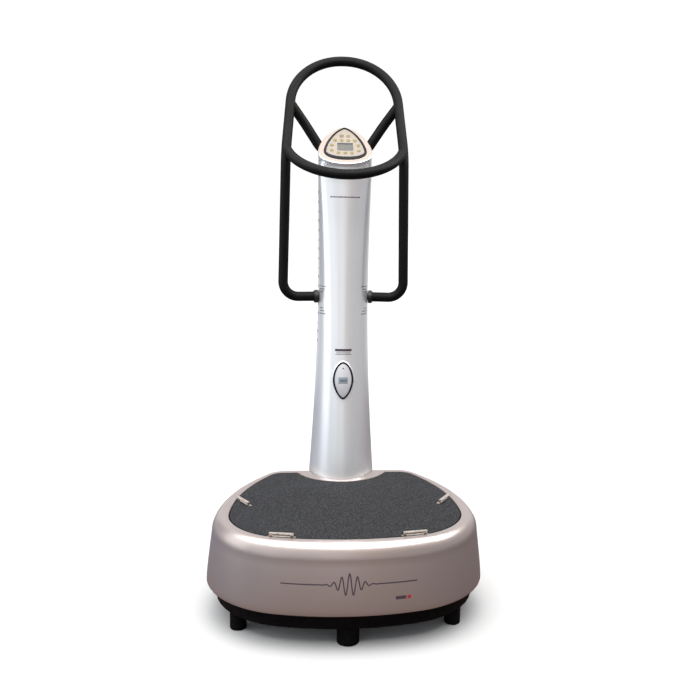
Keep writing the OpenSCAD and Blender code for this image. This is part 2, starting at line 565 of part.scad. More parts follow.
motor_bolt_pts = [for (y = motor_y) for (s = [-1, 1]) for (t = [-1, 1]) [s * 70, y + t * 54]];
module motor_bolts() color(steel) for (p = motor_bolt_pts) translate([p.x, p.y, plate_z - 28]) {
    cylinder(h = 6, r = 7, $fn = 6);
    cylinder(h = 32, r = 4, $fn = coarse);
}
module turned_x(p) translate(p) rotate([0, 90, 0]) children();
module motor_housing(y) color("dimgray") difference() {
    union() {
        turned_x([-motor_len / 2, y, motor_z]) cylinder(h = motor_len, r = motor_d / 2, $fn = fine);
        for (s = [-1, 1]) translate([s * 70 - 15, y - 62, plate_z - 20]) cube([30, 124, 11.9]);
        for (s = [-1, 1]) translate([s * 70 - 15, y - 45, motor_z]) cube([30, 90, plate_z - 8.1 - motor_z]);
    }
    turned_x([-motor_len / 2 + 12, y, motor_z]) cylinder(h = motor_len - 24, r = motor_d / 2 - 7, $fn = fine);
    turned_x([-motor_len, y, motor_z]) cylinder(h = 2 * motor_len, r = 24.02, $fn = fine);
    for (p = motor_bolt_pts) translate([p.x, p.y, plate_z - 30]) cylinder(h = 30, r = 4.1, $fn = coarse);
}
module front_motor_housing() motor_housing(motor_y[0]);
module rear_motor_housing() motor_housing(motor_y[1]);
module motor_bearings() color(steel) for (y = motor_y) for (s = [-1, 1])
    turned_x([s * (motor_len / 2 - 6) - 6, y, motor_z]) difference() {
        cylinder(h = 12, r = 24, $fn = fine);
        translate([0, 0, -1]) cylinder(h = 14, r = shaft_r + 0.02, $fn = fine);
    }
module motor_end_covers() color("dimgray") for (y = motor_y) for (s = [0, 1]) mirror([s, 0, 0])
    turned_x([motor_len / 2 + 0.1, y, motor_z]) difference() {
        cylinder(h = cap_len, r = motor_d / 2 - 1, $fn = fine);
        translate([0, 0, -1]) cylinder(h = cap_len - 3, r = motor_d / 2 - 5, $fn = fine);
    }
module rotor(y) color(steel) {
    turned_x([-motor_len / 2 - 44, y, motor_z]) cylinder(h = motor_len + 88, r = shaft_r - 0.02, $fn = fine);
    turned_x([-55, y, motor_z]) cylinder(h = 110, r = 38, $fn = fine);
}
module front_rotor() rotor(motor_y[0]);
module rear_rotor() rotor(motor_y[1]);
// Half-round weights that hang below the shaft.
module eccentrics(y) color("goldenrod") for (s = [-1, 1]) difference() {
    turned_x([s * (motor_len / 2 + 26) - 14, y, motor_z]) union() {
        cylinder(h = 28, r = 20, $fn = fine);
        difference() {
            cylinder(h = 28, r = 44, $fn = fine);
            translate([-60, -60, -1]) cube([60, 120, 30]);
        }
    }
    turned_x([-motor_len, y, motor_z]) cylinder(h = 2 * motor_len, r = shaft_r, $fn = fine);
}
module front_eccentrics() eccentrics(motor_y[0]);
module rear_eccentrics() eccentrics(motor_y[1]);

module isolator_rubbers() color(black) for (p = isolators) translate([p.x, p.y, pedestal_z])
    rotate_extrude($fn = fine) polygon([[0, 0], [34, 0], [34, 8], [27, 20], [25, 44], [27, 68], [32, 80], [32, plate_z - 8 - pedestal_z], [0, plate_z - 8 - pedestal_z]]);
// The cable leaves the controller through a hole in the bay's wall and the column's foot.
cable_z = 122;
module cable_port() along([42, 85, cable_z - 2.9], [0, 99.7, 26]) cylinder(h = 60, r = 6, $fn = coarse);
module motor_controller() color("gainsboro") {
    translate([-88, 40, frame_z + frame_h]) cube([176, 56, 44]);
    for (i = [0:10]) translate([-80 + i * 16 - 1.5, 44, frame_z + frame_h + 44]) cube([3, 48, 8]);
}
module console_cable() color(black) bent_tube(
    [[42, 96.3, cable_z], [42, 196, cable_z + 26], [8, 230, 250], [6, 226.5, 700], [6, 226.5, 1180], [0, 214, 1232]],
    [0, 30, 60, 400, 30, 0], 2.6, 0);

// ---------------------------------------------------------------- feet
module foot(f) color(black) translate([f[1], f[2], 0]) {
    h = ground_gap - 0.3;
    rotate_extrude($fn = fine) polygon([[0, 0], [f[3] - 3, 0], [f[3] - 0.8, 1], [f[3], 3], [f[3], h - 1.5], [f[3] - 1.5, h], [0, h]]);
    cylinder(h = h + 62, r = stud_r - 0.1, $fn = fine);
}
module foot_lock_nuts() color(steel) for (f = feet) translate([f[1], f[2], frame_z + frame_h + 0.1]) difference() {
    cylinder(h = 7, r = 11, $fn = 6);
    translate([0, 0, -1]) cylinder(h = 10, r = stud_r, $fn = fine);
}

base_tray();
chassis_frame();
base_cover();
cover_screws();
mast();
mast_bolts();
column_front_shell();
column_rear_shell();
column_screws();
handle_bracket();
handlebar_collars();
handlebar_hoop();
handlebar_crossbar();
handlebar_struts();
console_housing();
console_bezel();
console_fascia();
console_display();
console_board();
repeater_housing();
repeater_bezel();
repeater_fascia();
repeater_display();
repeater_eye();
union() { power_inlet(); inlet_pins(); }
power_rocker();
motor_controller();
console_cable();
isolator_rubbers();
foot_lock_nuts();
vibration_plate();
grip_mat();
strap_cleats();
front_motor_housing();
rear_motor_housing();
motor_end_covers();
motor_bearings();
motor_bolts();
front_rotor();
front_eccentrics();
rear_rotor();
rear_eccentrics();
for (f = feet) foot(f);
for (k = keys) key(k);
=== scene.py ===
"""Looks of the vibration plate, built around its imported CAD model. Everything is in the CAD frame.

Shapes are worked out in millimetres, as in part.scad, and stored in metres.
"""
import math

import bmesh
import bpy
from mathutils import Matrix, Vector


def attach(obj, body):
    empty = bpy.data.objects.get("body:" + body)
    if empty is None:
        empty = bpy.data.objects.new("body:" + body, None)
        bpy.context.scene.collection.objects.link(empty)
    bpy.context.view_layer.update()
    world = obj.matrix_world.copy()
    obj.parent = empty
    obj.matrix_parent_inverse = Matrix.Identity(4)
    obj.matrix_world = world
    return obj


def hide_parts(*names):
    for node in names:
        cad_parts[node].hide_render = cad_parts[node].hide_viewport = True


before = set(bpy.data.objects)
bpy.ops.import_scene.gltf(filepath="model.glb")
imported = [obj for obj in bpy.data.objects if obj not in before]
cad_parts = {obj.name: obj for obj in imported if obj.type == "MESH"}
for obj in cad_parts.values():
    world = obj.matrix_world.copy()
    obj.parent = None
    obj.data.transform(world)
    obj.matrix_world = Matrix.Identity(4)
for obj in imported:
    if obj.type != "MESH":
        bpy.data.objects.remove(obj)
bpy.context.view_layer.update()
MM = 0.001
scene = bpy.context.scene


# ------------------------------------------------------------------ camera
def make_camera():
    """The photograph's viewpoint: slightly left of the middle, at chest height, looking a little down."""
    eye = Vector((-0.099, -2.364, 1.074))
    yaw, pitch, roll = math.radians(5.70), math.radians(9.60), math.radians(1.22)
    forward = Vector((math.sin(yaw) * math.cos(pitch), math.cos(yaw) * math.cos(pitch), -math.sin(pitch)))
    right = Vector((math.cos(yaw), -math.sin(yaw), 0))
    up = right.cross(forward)
    x = right * math.cos(roll) + up * math.sin(roll)
    y = up * math.cos(roll) - right * math.sin(roll)
    data = bpy.data.cameras.new("camera")
    data.sensor_width = 36
    data.lens = 44.8
    data.shift_x = -0.064
    data.clip_end = 60
    camera = bpy.data.objects.new("camera", data)
    scene.collection.objects.link(camera)
    rotation = Matrix((x, y, -forward)).transposed().to_4x4()
    camera.matrix_world = Matrix.Translation(eye) @ rotation
    scene.camera = camera


make_camera()


# ------------------------------------------------------------------ materials
def new_material(name, colour, metallic=0.0, roughness=0.5, **sockets):
    """A Principled material; other constants are named by socket, with _ for a space."""
    material = bpy.data.materials.new(name)
    material.use_nodes = True
    shader = material.node_tree.nodes["Principled BSDF"]
    shader.inputs["Base Color"].default_value = (*colour, 1)
    shader.inputs["Metallic"].default_value = metallic
    shader.inputs["Roughness"].default_value = roughness
    for key, value in sockets.items():
        shader.inputs[key.replace("_", " ")].default_value = value
    return material


def nodes_of(material):
    tree = material.node_tree
    return tree, tree.nodes["Principled BSDF"]


def noise(tree, scale, detail=2.0, rough=0.5, stretch=(1, 1, 1)):
    """Noise in object space, so it stays put on its piece."""
    place = tree.nodes.new("ShaderNodeTexCoord")
    mapping = tree.nodes.new("ShaderNodeMapping")
    mapping.inputs["Scale"].default_value = stretch
    texture = tree.nodes.new("ShaderNodeTexNoise")
    texture.inputs["Scale"].default_value = scale
    texture.inputs["Detail"].default_value = detail
    texture.inputs["Roughness"].default_value = rough
    tree.links.new(place.outputs["Object"], mapping.inputs["Vector"])
    tree.links.new(mapping.outputs["Vector"], texture.inputs["Vector"])
    return texture


def ramp(tree, source, stops):
    """A colour ramp fed by source, with stops of (position, colour)."""
    node = tree.nodes.new("ShaderNodeValToRGB")
    elements = node.color_ramp.elements
    while len(elements) < len(stops):
        elements.new(0.5)
    for element, (position, colour) in zip(elements, stops):
        element.position = position
        element.color = (*colour, 1) if len(colour) == 3 else colour
    tree.links.new(source, node.inputs["Fac"])
    return node


def vary_colour(material, scale, low, high, detail=3.0, spread=(0.35, 0.65), stretch=(1, 1, 1)):
    """Mottles the base colour between low and high."""
    tree, shader = nodes_of(material)
    texture = noise(tree, scale, detail, 0.6, stretch)
    colours = ramp(tree, texture.outputs["Fac"], [(spread[0], low), (spread[1], high)])
    tree.links.new(colours.outputs["Color"], shader.inputs["Base Color"])
    return colours


def vary_roughness(material, scale, low, high, detail=3.0):
    """Mottles the roughness between low and high."""
    tree, shader = nodes_of(material)
    texture = noise(tree, scale, detail)
    spread = tree.nodes.new("ShaderNodeMapRange")
    spread.inputs["To Min"].default_value = low
    spread.inputs["To Max"].default_value = high
    spread.inputs["From Min"].default_value = 0.3
    spread.inputs["From Max"].default_value = 0.7
    tree.links.new(texture.outputs["Fac"], spread.inputs["Value"])
    tree.links.new(spread.outputs["Result"], shader.inputs["Roughness"])


def add_bump(material, scale, strength, distance=0.0004, detail=2.0, stretch=(1, 1, 1)):
    """Fine relief from noise; distance is in metres."""
    tree, shader = nodes_of(material)
    texture = noise(tree, scale, detail, 0.5, stretch)
    bump = tree.nodes.new("ShaderNodeBump")
    bump.inputs["Strength"].default_value = strength
    bump.inputs["Distance"].default_value = distance
    tree.links.new(texture.outputs["Fac"], bump.inputs["Height"])
    tree.links.new(bump.outputs["Normal"], shader.inputs["Normal"])


def paint(name, low, high, roughness, flake=2600):
    """Metallic paint: fine flakes and a slow drift of gloss."""
    material = new_material(name, high, 0.62, roughness, Coat_Weight=0.1, Coat_Roughness=0.4)
    vary_colour(material, flake, low, high, 2.0)
    vary_roughness(material, 6, roughness - 0.015, roughness + 0.015)
    return material


def plastic(name, low, high, roughness, grain=1400, depth=0.12, tone=60):
    """Moulded plastic or powder coat: mottled tone and gloss over a fine grain."""
    material = new_material(name, high, 0, roughness)
    vary_colour(material, tone, low, high)
    vary_roughness(material, 22, roughness - 0.05, roughness + 0.08)
    add_bump(material, grain, depth, 0.0003)
    return material


def dulled(material, level):
    """Lowers the reflection of a very dark material."""
    material.node_tree.nodes["Principled BSDF"].inputs["Specular IOR Level"].default_value = level


def metal(name, low, high, roughness, stretch=(1, 1, 1), metallic=1.0):
    """Bare or plated metal; stretch draws the grain out along one direction."""
    material = new_material(name, high, metallic, roughness)
    vary_colour(material, 90, low, high, 4.0, stretch=stretch)
    vary_roughness(material, 140, roughness - 0.06, roughness + 0.1)
    add_bump(material, 700, 0.1, 0.0002, stretch=stretch)
    return material


M = {}
M["silver"] = paint("silver_paint", (0.74, 0.75, 0.76), (0.84, 0.85, 0.86), 0.33)
# The cover's paint is the column's silver made darker and browner: partly its own tone, partly painted shade
# and a painted reflection of a dark floor in front.
M["cover"] = paint("cover_paint_and_painted_shade", (0.36, 0.305, 0.288), (0.43, 0.364, 0.345), 0.33)
# The head's rolled top edge: a champagne tint, partly its own colour and partly a painted warm light falling
# from above on a top-facing surface.
M["head_top"] = new_material("champagne_tint_and_painted_warm_light", (0.41, 0.345, 0.3), 0.2, 0.5,
                             Specular_IOR_Level=0.2, Coat_Weight=0.03)
vary_colour(M["head_top"], 2400, (0.38, 0.32, 0.275), (0.44, 0.37, 0.325), 2.0)
M["fascia"] = new_material("champagne_overlay", (0.5, 0.42, 0.36), 0.0, 0.55)
vary_colour(M["fascia"], 520, (0.33, 0.27, 0.225), (0.45, 0.375, 0.315), 2.0)
add_bump(M["fascia"], 1800, 0.06, 0.0002)
M["repeater_face"] = new_material("silver_overlay", (0.75, 0.76, 0.78), 0.35, 0.4, Coat_Weight=0.2)
vary_colour(M["repeater_face"], 1500, (0.66, 0.67, 0.69), (0.8, 0.81, 0.83), 2.0)
M["tray"] = plastic("tray_plastic", (0.003, 0.003, 0.0035), (0.006, 0.0055, 0.006), 0.5)
M["bezel"] = new_material("bezel_black", (0.004, 0.005, 0.01), 0, 0.5, Specular_IOR_Level=0.12)
vary_colour(M["bezel"], 30, (0.003, 0.0035, 0.006), (0.006, 0.007, 0.014))
add_bump(M["bezel"], 500, 0.03, 0.0002)
M["handle"] = plastic("handle_powder_coat", (0.002, 0.002, 0.002), (0.006, 0.006, 0.006), 0.5, 1100, 0.3, 500)
M["collar"] = plastic("collar_plastic", (0.008, 0.008, 0.009), (0.017, 0.017, 0.018), 0.4)
M["black_plastic"] = plastic("inlet_plastic", (0.01, 0.01, 0.01), (0.02, 0.02, 0.02), 0.45)
M["rubber"] = plastic("foot_rubber", (0.003, 0.003, 0.003), (0.006, 0.006, 0.006), 0.62, 900, 0.3)
M["dark_zinc"] = metal("black_zinc", (0.02, 0.02, 0.02), (0.05, 0.05, 0.05), 0.5, (1, 1, 1), 0.6)
M["frame"] = plastic("frame_coat", (0.02, 0.02, 0.022), (0.045, 0.045, 0.05), 0.5, 600, 0.25)
M["cast"] = plastic("cast_paint", (0.06, 0.06, 0.065), (0.11, 0.11, 0.115), 0.55, 420, 0.5)
M["aluminium"] = metal("motor_cover_aluminium", (0.5, 0.5, 0.51), (0.68, 0.68, 0.69), 0.38)
for key, level in (("tray", 0.06), ("handle", 0.08), ("rubber", 0.06), ("collar", 0.25)):
    dulled(M[key], level)
M["steel"] = metal("zinc_steel", (0.5, 0.5, 0.52), (0.68, 0.68, 0.7), 0.32)
M["turned"] = metal("turned_steel", (0.42, 0.42, 0.43), (0.62, 0.62, 0.63), 0.28, (8, 1, 1))
M["brass"] = metal("weight_brass", (0.5, 0.36, 0.12), (0.72, 0.55, 0.24), 0.34)
M["cleat"] = metal("cleat_metal", (0.5, 0.43, 0.37), (0.72, 0.65, 0.58), 0.3, (1, 1, 1), 0.9)
M["board"] = plastic("board_green", (0.01, 0.09, 0.03), (0.02, 0.16, 0.05), 0.35, 800, 0.1, 300)
M["cable"] = plastic("cable_sheath", (0.01, 0.01, 0.01), (0.02, 0.02, 0.02), 0.5)
M["rocker"] = plastic("rocker_red", (0.36, 0.01, 0.01), (0.5, 0.02, 0.02), 0.28)
M["eye"] = new_material("eye_window", (0.03, 0.035, 0.04), 0, 0.12, Coat_Weight=0.8)
vary_colour(M["eye"], 200, (0.02, 0.024, 0.03), (0.05, 0.055, 0.065))
M["ink"] = plastic("decal_ink", (0.05, 0.035, 0.05), (0.075, 0.05, 0.07), 0.4, 900, 0.05, 200)
M["accent"] = plastic("accent_ink", (0.42, 0.02, 0.03), (0.52, 0.03, 0.04), 0.45, 900, 0.05, 200)
M["glyph"] = plastic("glyph_ink", (0.05, 0.045, 0.02), (0.08, 0.07, 0.035), 0.5, 900, 0.05, 300)
M["olive"] = plastic("olive_key", (0.19, 0.155, 0.002), (0.29, 0.24, 0.008), 0.42, 1600, 0.08, 400)
M["green"] = plastic("green_key", (0.01, 0.17, 0.08), (0.015, 0.26, 0.13), 0.34, 1600, 0.08, 400)
M["orange"] = plastic("orange_ring", (0.42, 0.08, 0.03), (0.55, 0.12, 0.05), 0.4, 1600, 0.05, 300)


def mat_material():
    """Grit-faced rubber: a charcoal ground under fine paler grains."""
    material = new_material("grip_rubber", (0.05, 0.05, 0.055), 0, 0.8, Specular_IOR_Level=0.12)
    tree, shader = nodes_of(material)
    fine_grain = noise(tree, 420, 2.0, 0.65)
    patches = noise(tree, 60, 3.0, 0.6)
    ground = ramp(tree, fine_grain.outputs["Fac"], [
        (0.38, (0.005, 0.005, 0.006)), (0.5, (0.017, 0.0173, 0.019)), (0.62, (0.054, 0.055, 0.061))])
    shade = ramp(tree, patches.outputs["Fac"], [(0.3, (0.85, 0.85, 0.87)), (0.7, (1, 1, 1))])
    mix = tree.nodes.new("ShaderNodeMix")
    mix.data_type = "RGBA"
    mix.blend_type = "MULTIPLY"
    mix.inputs["Factor"].default_value = 1
    tree.links.new(ground.outputs["Color"], mix.inputs["A"])
    tree.links.new(shade.outputs["Color"], mix.inputs["B"])
    tree.links.new(mix.outputs["Result"], shader.inputs["Base Color"])
    bump = tree.nodes.new("ShaderNodeBump")
    bump.inputs["Strength"].default_value = 0.5
    bump.inputs["Distance"].default_value = 0.0006
    tree.links.new(fine_grain.outputs["Fac"], bump.inputs["Height"])
    tree.links.new(bump.outputs["Normal"], shader.inputs["Normal"])
    return material


def screen_material(name, ground, dark):
    """A liquid crystal window: fine pixel rows over an even ground."""
    material = new_material(name, ground, 0, 0.45, Specular_IOR_Level=0.3)
    tree, shader = nodes_of(material)
    waves = tree.nodes.new("ShaderNodeTexWave")
    waves.inputs["Scale"].default_value = 900
    waves.inputs["Distortion"].default_value = 0
    place = tree.nodes.new("ShaderNodeTexCoord")
    tree.links.new(place.outputs["Object"], waves.inputs["Vector"])
    colours = ramp(tree, waves.outputs["Color"], [(0.2, dark), (0.8, ground)])
    tree.links.new(colours.outputs["Color"], shader.inputs["Base Color"])
    return material


M["mat"] = mat_material()
M["lcd"] = screen_material("lcd_glass", (0.16, 0.155, 0.145), (0.115, 0.112, 0.106))
M["lcd_dark"] = screen_material("lcd_band", (0.03, 0.035, 0.045), (0.02, 0.024, 0.032))
M["lcd_blue"] = screen_material("lcd_blue_glass", (0.36, 0.43, 0.5), (0.3, 0.37, 0.44))


# ------------------------------------------------------------------ mesh helpers
def make_mesh(name, points, faces, material, body, replaces=(), sharp=35, extra=(), face_slots=None):
    """A new piece from points in millimetres. Edges turned by more than sharp degrees stay crisp."""
    mesh = bpy.data.meshes.new(name)
    mesh.from_pydata([(x * MM, y * MM, z * MM) for x, y, z in points], [], faces)
    mesh.materials.append(material)
    for other in extra:
        mesh.materials.append(other)
    if face_slots:
        mesh.polygons.foreach_set("material_index", face_slots)
    finish_mesh(mesh, sharp)
    piece = bpy.data.objects.new(name, mesh)
    scene.collection.objects.link(piece)
    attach(piece, body)
    if replaces:
        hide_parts(*replaces)
    return piece


def finish_mesh(mesh, sharp):
    """Joins doubled points, turns faces outward and marks the crisp edges."""
    work = bmesh.new()
    work.from_mesh(mesh)
    bmesh.ops.remove_doubles(work, verts=work.verts, dist=1e-7)
    bmesh.ops.recalc_face_normals(work, faces=work.faces)
    limit = math.radians(sharp)
    for face in work.faces:
        face.smooth = True
    for edge in work.edges:
        edge.smooth = len(edge.link_faces) == 2 and edge.calc_face_angle(0) < limit
    work.to_mesh(mesh)
    work.free()


def skin(rings, loop=False, cap=True):
    """Points and faces of a skin over rings of equal length."""
    n, m = len(rings[0]), len(rings)
    points = [p for r in rings for p in r]
    faces = []
    for j in range(m if loop else m - 1):
        a, b = j * n, ((j + 1) % m) * n
        faces += [(a + i, a + (i + 1) % n, b + (i + 1) % n, b + i) for i in range(n)]
    if cap and not loop:
        faces += [tuple(range(n))[::-1], tuple(range((m - 1) * n, m * n))]
    return points, faces


def lerp(a, b, t):
    return a + (b - a) * t


def clamp01(t):
    return min(1.0, max(0.0, t))


def full_turn(count):
    """Equally spaced angles round a circle, in radians."""
    return [2 * math.pi * i / count for i in range(count)]


def lathe(profile, count=64):
    """Rings about +Z of a profile of (radius, height)."""
    return [[(r * math.cos(a), r * math.sin(a), z) for a in full_turn(count)] for r, z in profile]


def mirrored(rings):
    return [[(-x, y, z) for x, y, z in ring] for ring in rings]


def placed(rings, origin, x_axis, y_axis, z_axis):
    """Rings moved from their own frame into the machine's."""
    o, x, y, z = (Vector(v) for v in (origin, x_axis, y_axis, z_axis))
    return [[tuple(o + x * p[0] + y * p[1] + z * p[2]) for p in ring] for ring in rings]


def along(rings, origin, direction):
    """Rings about +Z turned to run from origin in a direction."""
    z = Vector(direction).normalized()
    x = Vector((0, 0, 1)).cross(z).normalized()
    return placed(rings, origin, x, z.cross(x), z)


BOX_FACES = [(0, 1, 3, 2), (4, 6, 7, 5), (0, 4, 5, 1), (2, 3, 7, 6), (0, 2, 6, 4), (1, 5, 7, 3)]


def cut_with_box(piece, centre_matrix, low, high):
    """Cuts a box, in millimetres in the given local frame, out of a piece."""
    corners = [(x, y, z) for x in (low[0], high[0]) for y in (low[1], high[1]) for z in (low[2], high[2])]
    points = [tuple((centre_matrix @ Vector(c)) * MM) for c in corners]
    mesh = bpy.data.meshes.new("cutter")
    mesh.from_pydata(points, [], BOX_FACES)
    cutter = bpy.data.objects.new("cutter", mesh)
    scene.collection.objects.link(cutter)
    modifier = piece.modifiers.new("cut", "BOOLEAN")
    modifier.object = cutter
    modifier.operation = "DIFFERENCE"
    modifier.solver = "EXACT"
    graph = bpy.context.evaluated_depsgraph_get()
    result = bpy.data.meshes.new_from_object(piece.evaluated_get(graph))
    piece.modifiers.clear()
    piece.data = result
    bpy.data.objects.remove(cutter)


# ------------------------------------------------------------------ sizes repeated from the CAD model, in mm
BASE_W, BASE_D = 730, 830
DECK, COVER_Z = 268, 94     # top of the mat; lower edge of the base cover
FRONT, HEEL = -BASE_D / 2, BASE_D / 2
GAP, WALL = 4, 3            # gap round the moving platform; wall of the covers
COL_HALF, WAIST_HALF, WAIST_Z, CONSOLE_Z = 97, 73, 818, 1182
FOOT_Y, NOTCH_R = 225, 144.5    # middle of the column's foot; radius of the mat's notch round it
RIM_INSET = 58              # from the skirt's front to the mat's front
FLARE, SHOULDER = 15, 44    # the cover's lean inwards; height of its rounded shoulder

# A plan: front y, half width, then the radii of front, front corner, side and rear corner, and rear y.
MAT_PLAN = (FRONT + RIM_INSET, BASE_W / 2 - 64, 764, 170, 600, 42, 170)
SKIRT_PLAN = (FRONT, BASE_W / 2, 700, 250, 470, 90, 230)


def grown(plan, g):
    """A plan moved outwards by g all round."""
    return (plan[0] - g, *(v + g for v in plan[1:]))


def arc(cx, cy, r, a0, a1, n):
    """n points of an arc from angle a0 towards a1, in degrees, without its last point."""
    angles = [math.radians(lerp(a0, a1, i / n)) for i in range(n)]
    return [(cx + r * math.cos(a), cy + r * math.sin(a)) for a in angles]


def half_plan(plan, fineness=5):
    """The right half of a plan's outline, four arcs that meet tangentially, from the front middle."""
    fy, hw, rf, rc, rs, rr, ry = plan
    side_y = fy + rf - math.sqrt((rf - rc) ** 2 - (hw - rc) ** 2)
    front_a = math.degrees(math.asin((hw - rc) / (rf - rc)))
    rise = ry - rr - side_y
    side_a = math.degrees(math.asin(rise / (rs - rr)))
    rear_x = hw - rs + math.sqrt((rs - rr) ** 2 - rise * rise)
    return (arc(0, fy + rf, rf, -90, front_a - 90, 6 * fineness)
            + arc(hw - rc, side_y, rc, front_a - 90, 0, 10 * fineness)
            + arc(hw - rs, side_y, rs, 0, side_a, 8 * fineness)
            + arc(rear_x, ry - rr, rr, side_a, 90, 6 * fineness)
            + [(rear_x, ry)])


def bay(a, b, ry, steps=40):
    """The curved bay in a plan's rear edge that the column's foot stands in."""
    start = math.degrees(math.asin((ry - FOOT_Y) / b))
    pts = []
    for i in range(steps + 1):
        t = math.radians(lerp(start, -90, i / steps))
        pts.append((0 if i == steps else a * math.cos(t), FOOT_Y + b * math.sin(t)))
    return pts


def plan_outline(plan, a, b):
    half = half_plan(plan) + bay(a, b, plan[6])
    return half + [(-x, y) for x, y in half[-2:0:-1]]


def at_z(outline, z):
    return [(x, y, z) for x, y in outline]


RIM_PLAN = grown(MAT_PLAN, GAP)
FOOT_FRONT = 105    # front of the column where it enters the base


def mixed(plan_a, plan_b, t):
    return tuple(lerp(a, b, t) for a, b in zip(plan_a, plan_b))


def cover_ring(inset, z, g=0):
    """A ring of the cover's side, part of the way in from the skirt to the rim."""
    clearance = 2 + g
    plan = mixed(SKIRT_PLAN, RIM_PLAN, inset / RIM_INSET)
    return at_z(plan_outline(plan, COL_HALF + clearance, FOOT_Y - FOOT_FRONT + clearance), z)


def rim_ring(g, z):
    """A ring of the lip round the mat."""
    r = NOTCH_R - GAP - g
    return at_z(plan_outline(grown(RIM_PLAN, g), r, r), z)


def base_cover():
    """The moulded cover: a leaning skirt, a rounded shoulder and a lip, with a wall's thickness inside."""
    shoulder = DECK - SHOULDER
    profile = [(0.8, COVER_Z - 0.2), (0.15, COVER_Z + 0.6)]
    profile += [(FLARE * t ** 1.2, lerp(COVER_Z + 2, shoulder, t)) for t in [i / 10 for i in range(11)]]
    for i in range(1, 15):
        a = math.radians(90 * i / 14)
        profile.append((FLARE + 30 * (1 - math.cos(a)), shoulder + SHOULDER * math.sin(a)))
    outside = [cover_ring(inset, z) for inset, z in profile]
    lip = [rim_ring(0.9, DECK), rim_ring(0.25, DECK - 0.25), rim_ring(0, DECK - 0.9), rim_ring(0, DECK - 14),
           rim_ring(WALL, DECK - 14), rim_ring(WALL, DECK - WALL)]
    inside = [cover_ring(inset + WALL, z - WALL if z > 200 else z, WALL) for inset, z in profile[:1:-1]]
    points, faces = skin(outside + lip + inside, loop=True)
    # The cover material's darker, browner tone is partly painted shade and painted reflection.
    return make_mesh("base_cover_shell", points, faces, M["cover"], "base",
                     ["base_cover"], 40)


def oval_pt(a, b_front, b_rear, n_front, n_rear, c, ang):
    """A point of a superellipse whose front and rear halves differ; c is its middle."""
    s, k = math.sin(math.radians(ang)), math.cos(math.radians(ang))
    n, b = (n_front, b_front) if s < 0 else (n_rear, b_rear)
    return (math.copysign(a * abs(k) ** (2 / n), k), c + math.copysign(b * abs(s) ** (2 / n), s))


def low_t(z):
    """Share of the foot's flare: 1 at the deck, 0 from the waist up."""
    return clamp01((WAIST_Z - max(z, DECK)) / 550) ** 1.7


def high_t(z):
    """Share of the head's flare: 0 at the waist, 1 at the console."""
    return clamp01((z - WAIST_Z) / (CONSOLE_Z - WAIST_Z)) ** 2


def rise_t(z):
    """Share of the height between the deck and the console."""
    return clamp01((z - DECK) / (CONSOLE_Z - DECK))


def col_a(z):
    """Half width of the column at a height."""
    return WAIST_HALF + (COL_HALF - WAIST_HALF) * low_t(z) + 3.5 * high_t(z)


def col_front(z):
    return 135 - 30 * low_t(z) - 15 * high_t(z)


def col_mid(z):
    return lerp(FOOT_Y, 152, rise_t(z) ** 3)


def col_rear(z):
    """Rear of the column: it bulges out to the heel below the deck."""
    if z < DECK:
        return 345 + (HEEL - 345) * ((DECK - z) / (DECK - COVER_Z)) ** 1.5
    return 232 + 113 * clamp01((CONSOLE_Z + 91 - z) / (CONSOLE_Z + 91 - DECK)) ** 1.5


def col_pt(z, ang, g=0.0):
    """A point of the column's section at a height, moved outwards by g."""
    mid = col_mid(z)
    return oval_pt(col_a(z) + g, mid - col_front(z) + g, col_rear(z) - mid + g,
                   lerp(2, 2.15, rise_t(z)), lerp(2, 1.68, rise_t(z)), mid, ang)


def col_face_y(x, z):
    """The column's front face at x."""
    n = lerp(2, 2.15, rise_t(z))
    return col_mid(z) - (col_mid(z) - col_front(z)) * (1 - (abs(x) / col_a(z)) ** n) ** (1 / n)


COL_TOP = CONSOLE_Z - 34    # seam between the column and the head
SPLIT = 0.3     # each shell's distance from the split line


def half_angles(side, count):
    """Angles of one half of the section, closer together near the ends, where the curve is tight."""
    start = -180 if side < 0 else 0
    return [start + 90 * (1 - math.cos(math.pi * i / count)) for i in range(count + 1)]


def column_half(name, side, node):
    """The front (side -1) or rear (side 1) shell of the column."""
    heights = sorted({lerp(COVER_Z, DECK, i / 24) for i in range(25)}
                     | {lerp(DECK, COL_TOP - 1, i / 60) for i in range(61)})
    rings = []
    for z in heights + [COL_TOP - 0.4, COL_TOP]:
        chamfer = max(0, z - (COL_TOP - 0.6))
        angles = half_angles(side, 72)
        outer = [col_pt(z, a, -chamfer) for a in angles]
        inner = [col_pt(z, a, -WALL) for a in reversed(angles)]
        rings.append([(x, y + side * SPLIT, z) for x, y in outer + inner])
    points, faces = skin(rings)
    n, m = len(rings[0]), len(rings)
    faces = faces[:-2]
    base = (m - 1) * n
    for i in range(n // 2 - 1):
        faces.append((n - 1 - i, n - 2 - i, i + 1, i))
        faces.append((base + i, base + i + 1, base + n - 2 - i, base + n - 1 - i))
    return make_mesh(name, points, faces, M["silver"], "base", [node], 40)


# ------------------------------------------------------------------ console
HEAD_MID = 152
NECK = 120
PANEL_MID = (HEAD_MID - NECK) / math.cos(math.radians(45))
COS45 = math.cos(math.radians(45))


def on_panel(u, v, w):
    """A point on the console's sloping panel: u across, v up the slope, w out of it."""
    return (u, NECK + v * COS45 - w * COS45, CONSOLE_Z + v * COS45 + w * COS45)


def panel_oval(a, front, rear, n_front, count=180):
    return [oval_pt(a, front, rear, n_front, 1.5, PANEL_MID, 360 * i / count - 90) for i in range(count)]


def head_top(ang, g=0.0):
    x, v = oval_pt(76.6 + g, 46.2 + g, 101.6 + 2 * g, 2.15, 1.68, PANEL_MID, ang)
    return on_panel(x, v, 0)


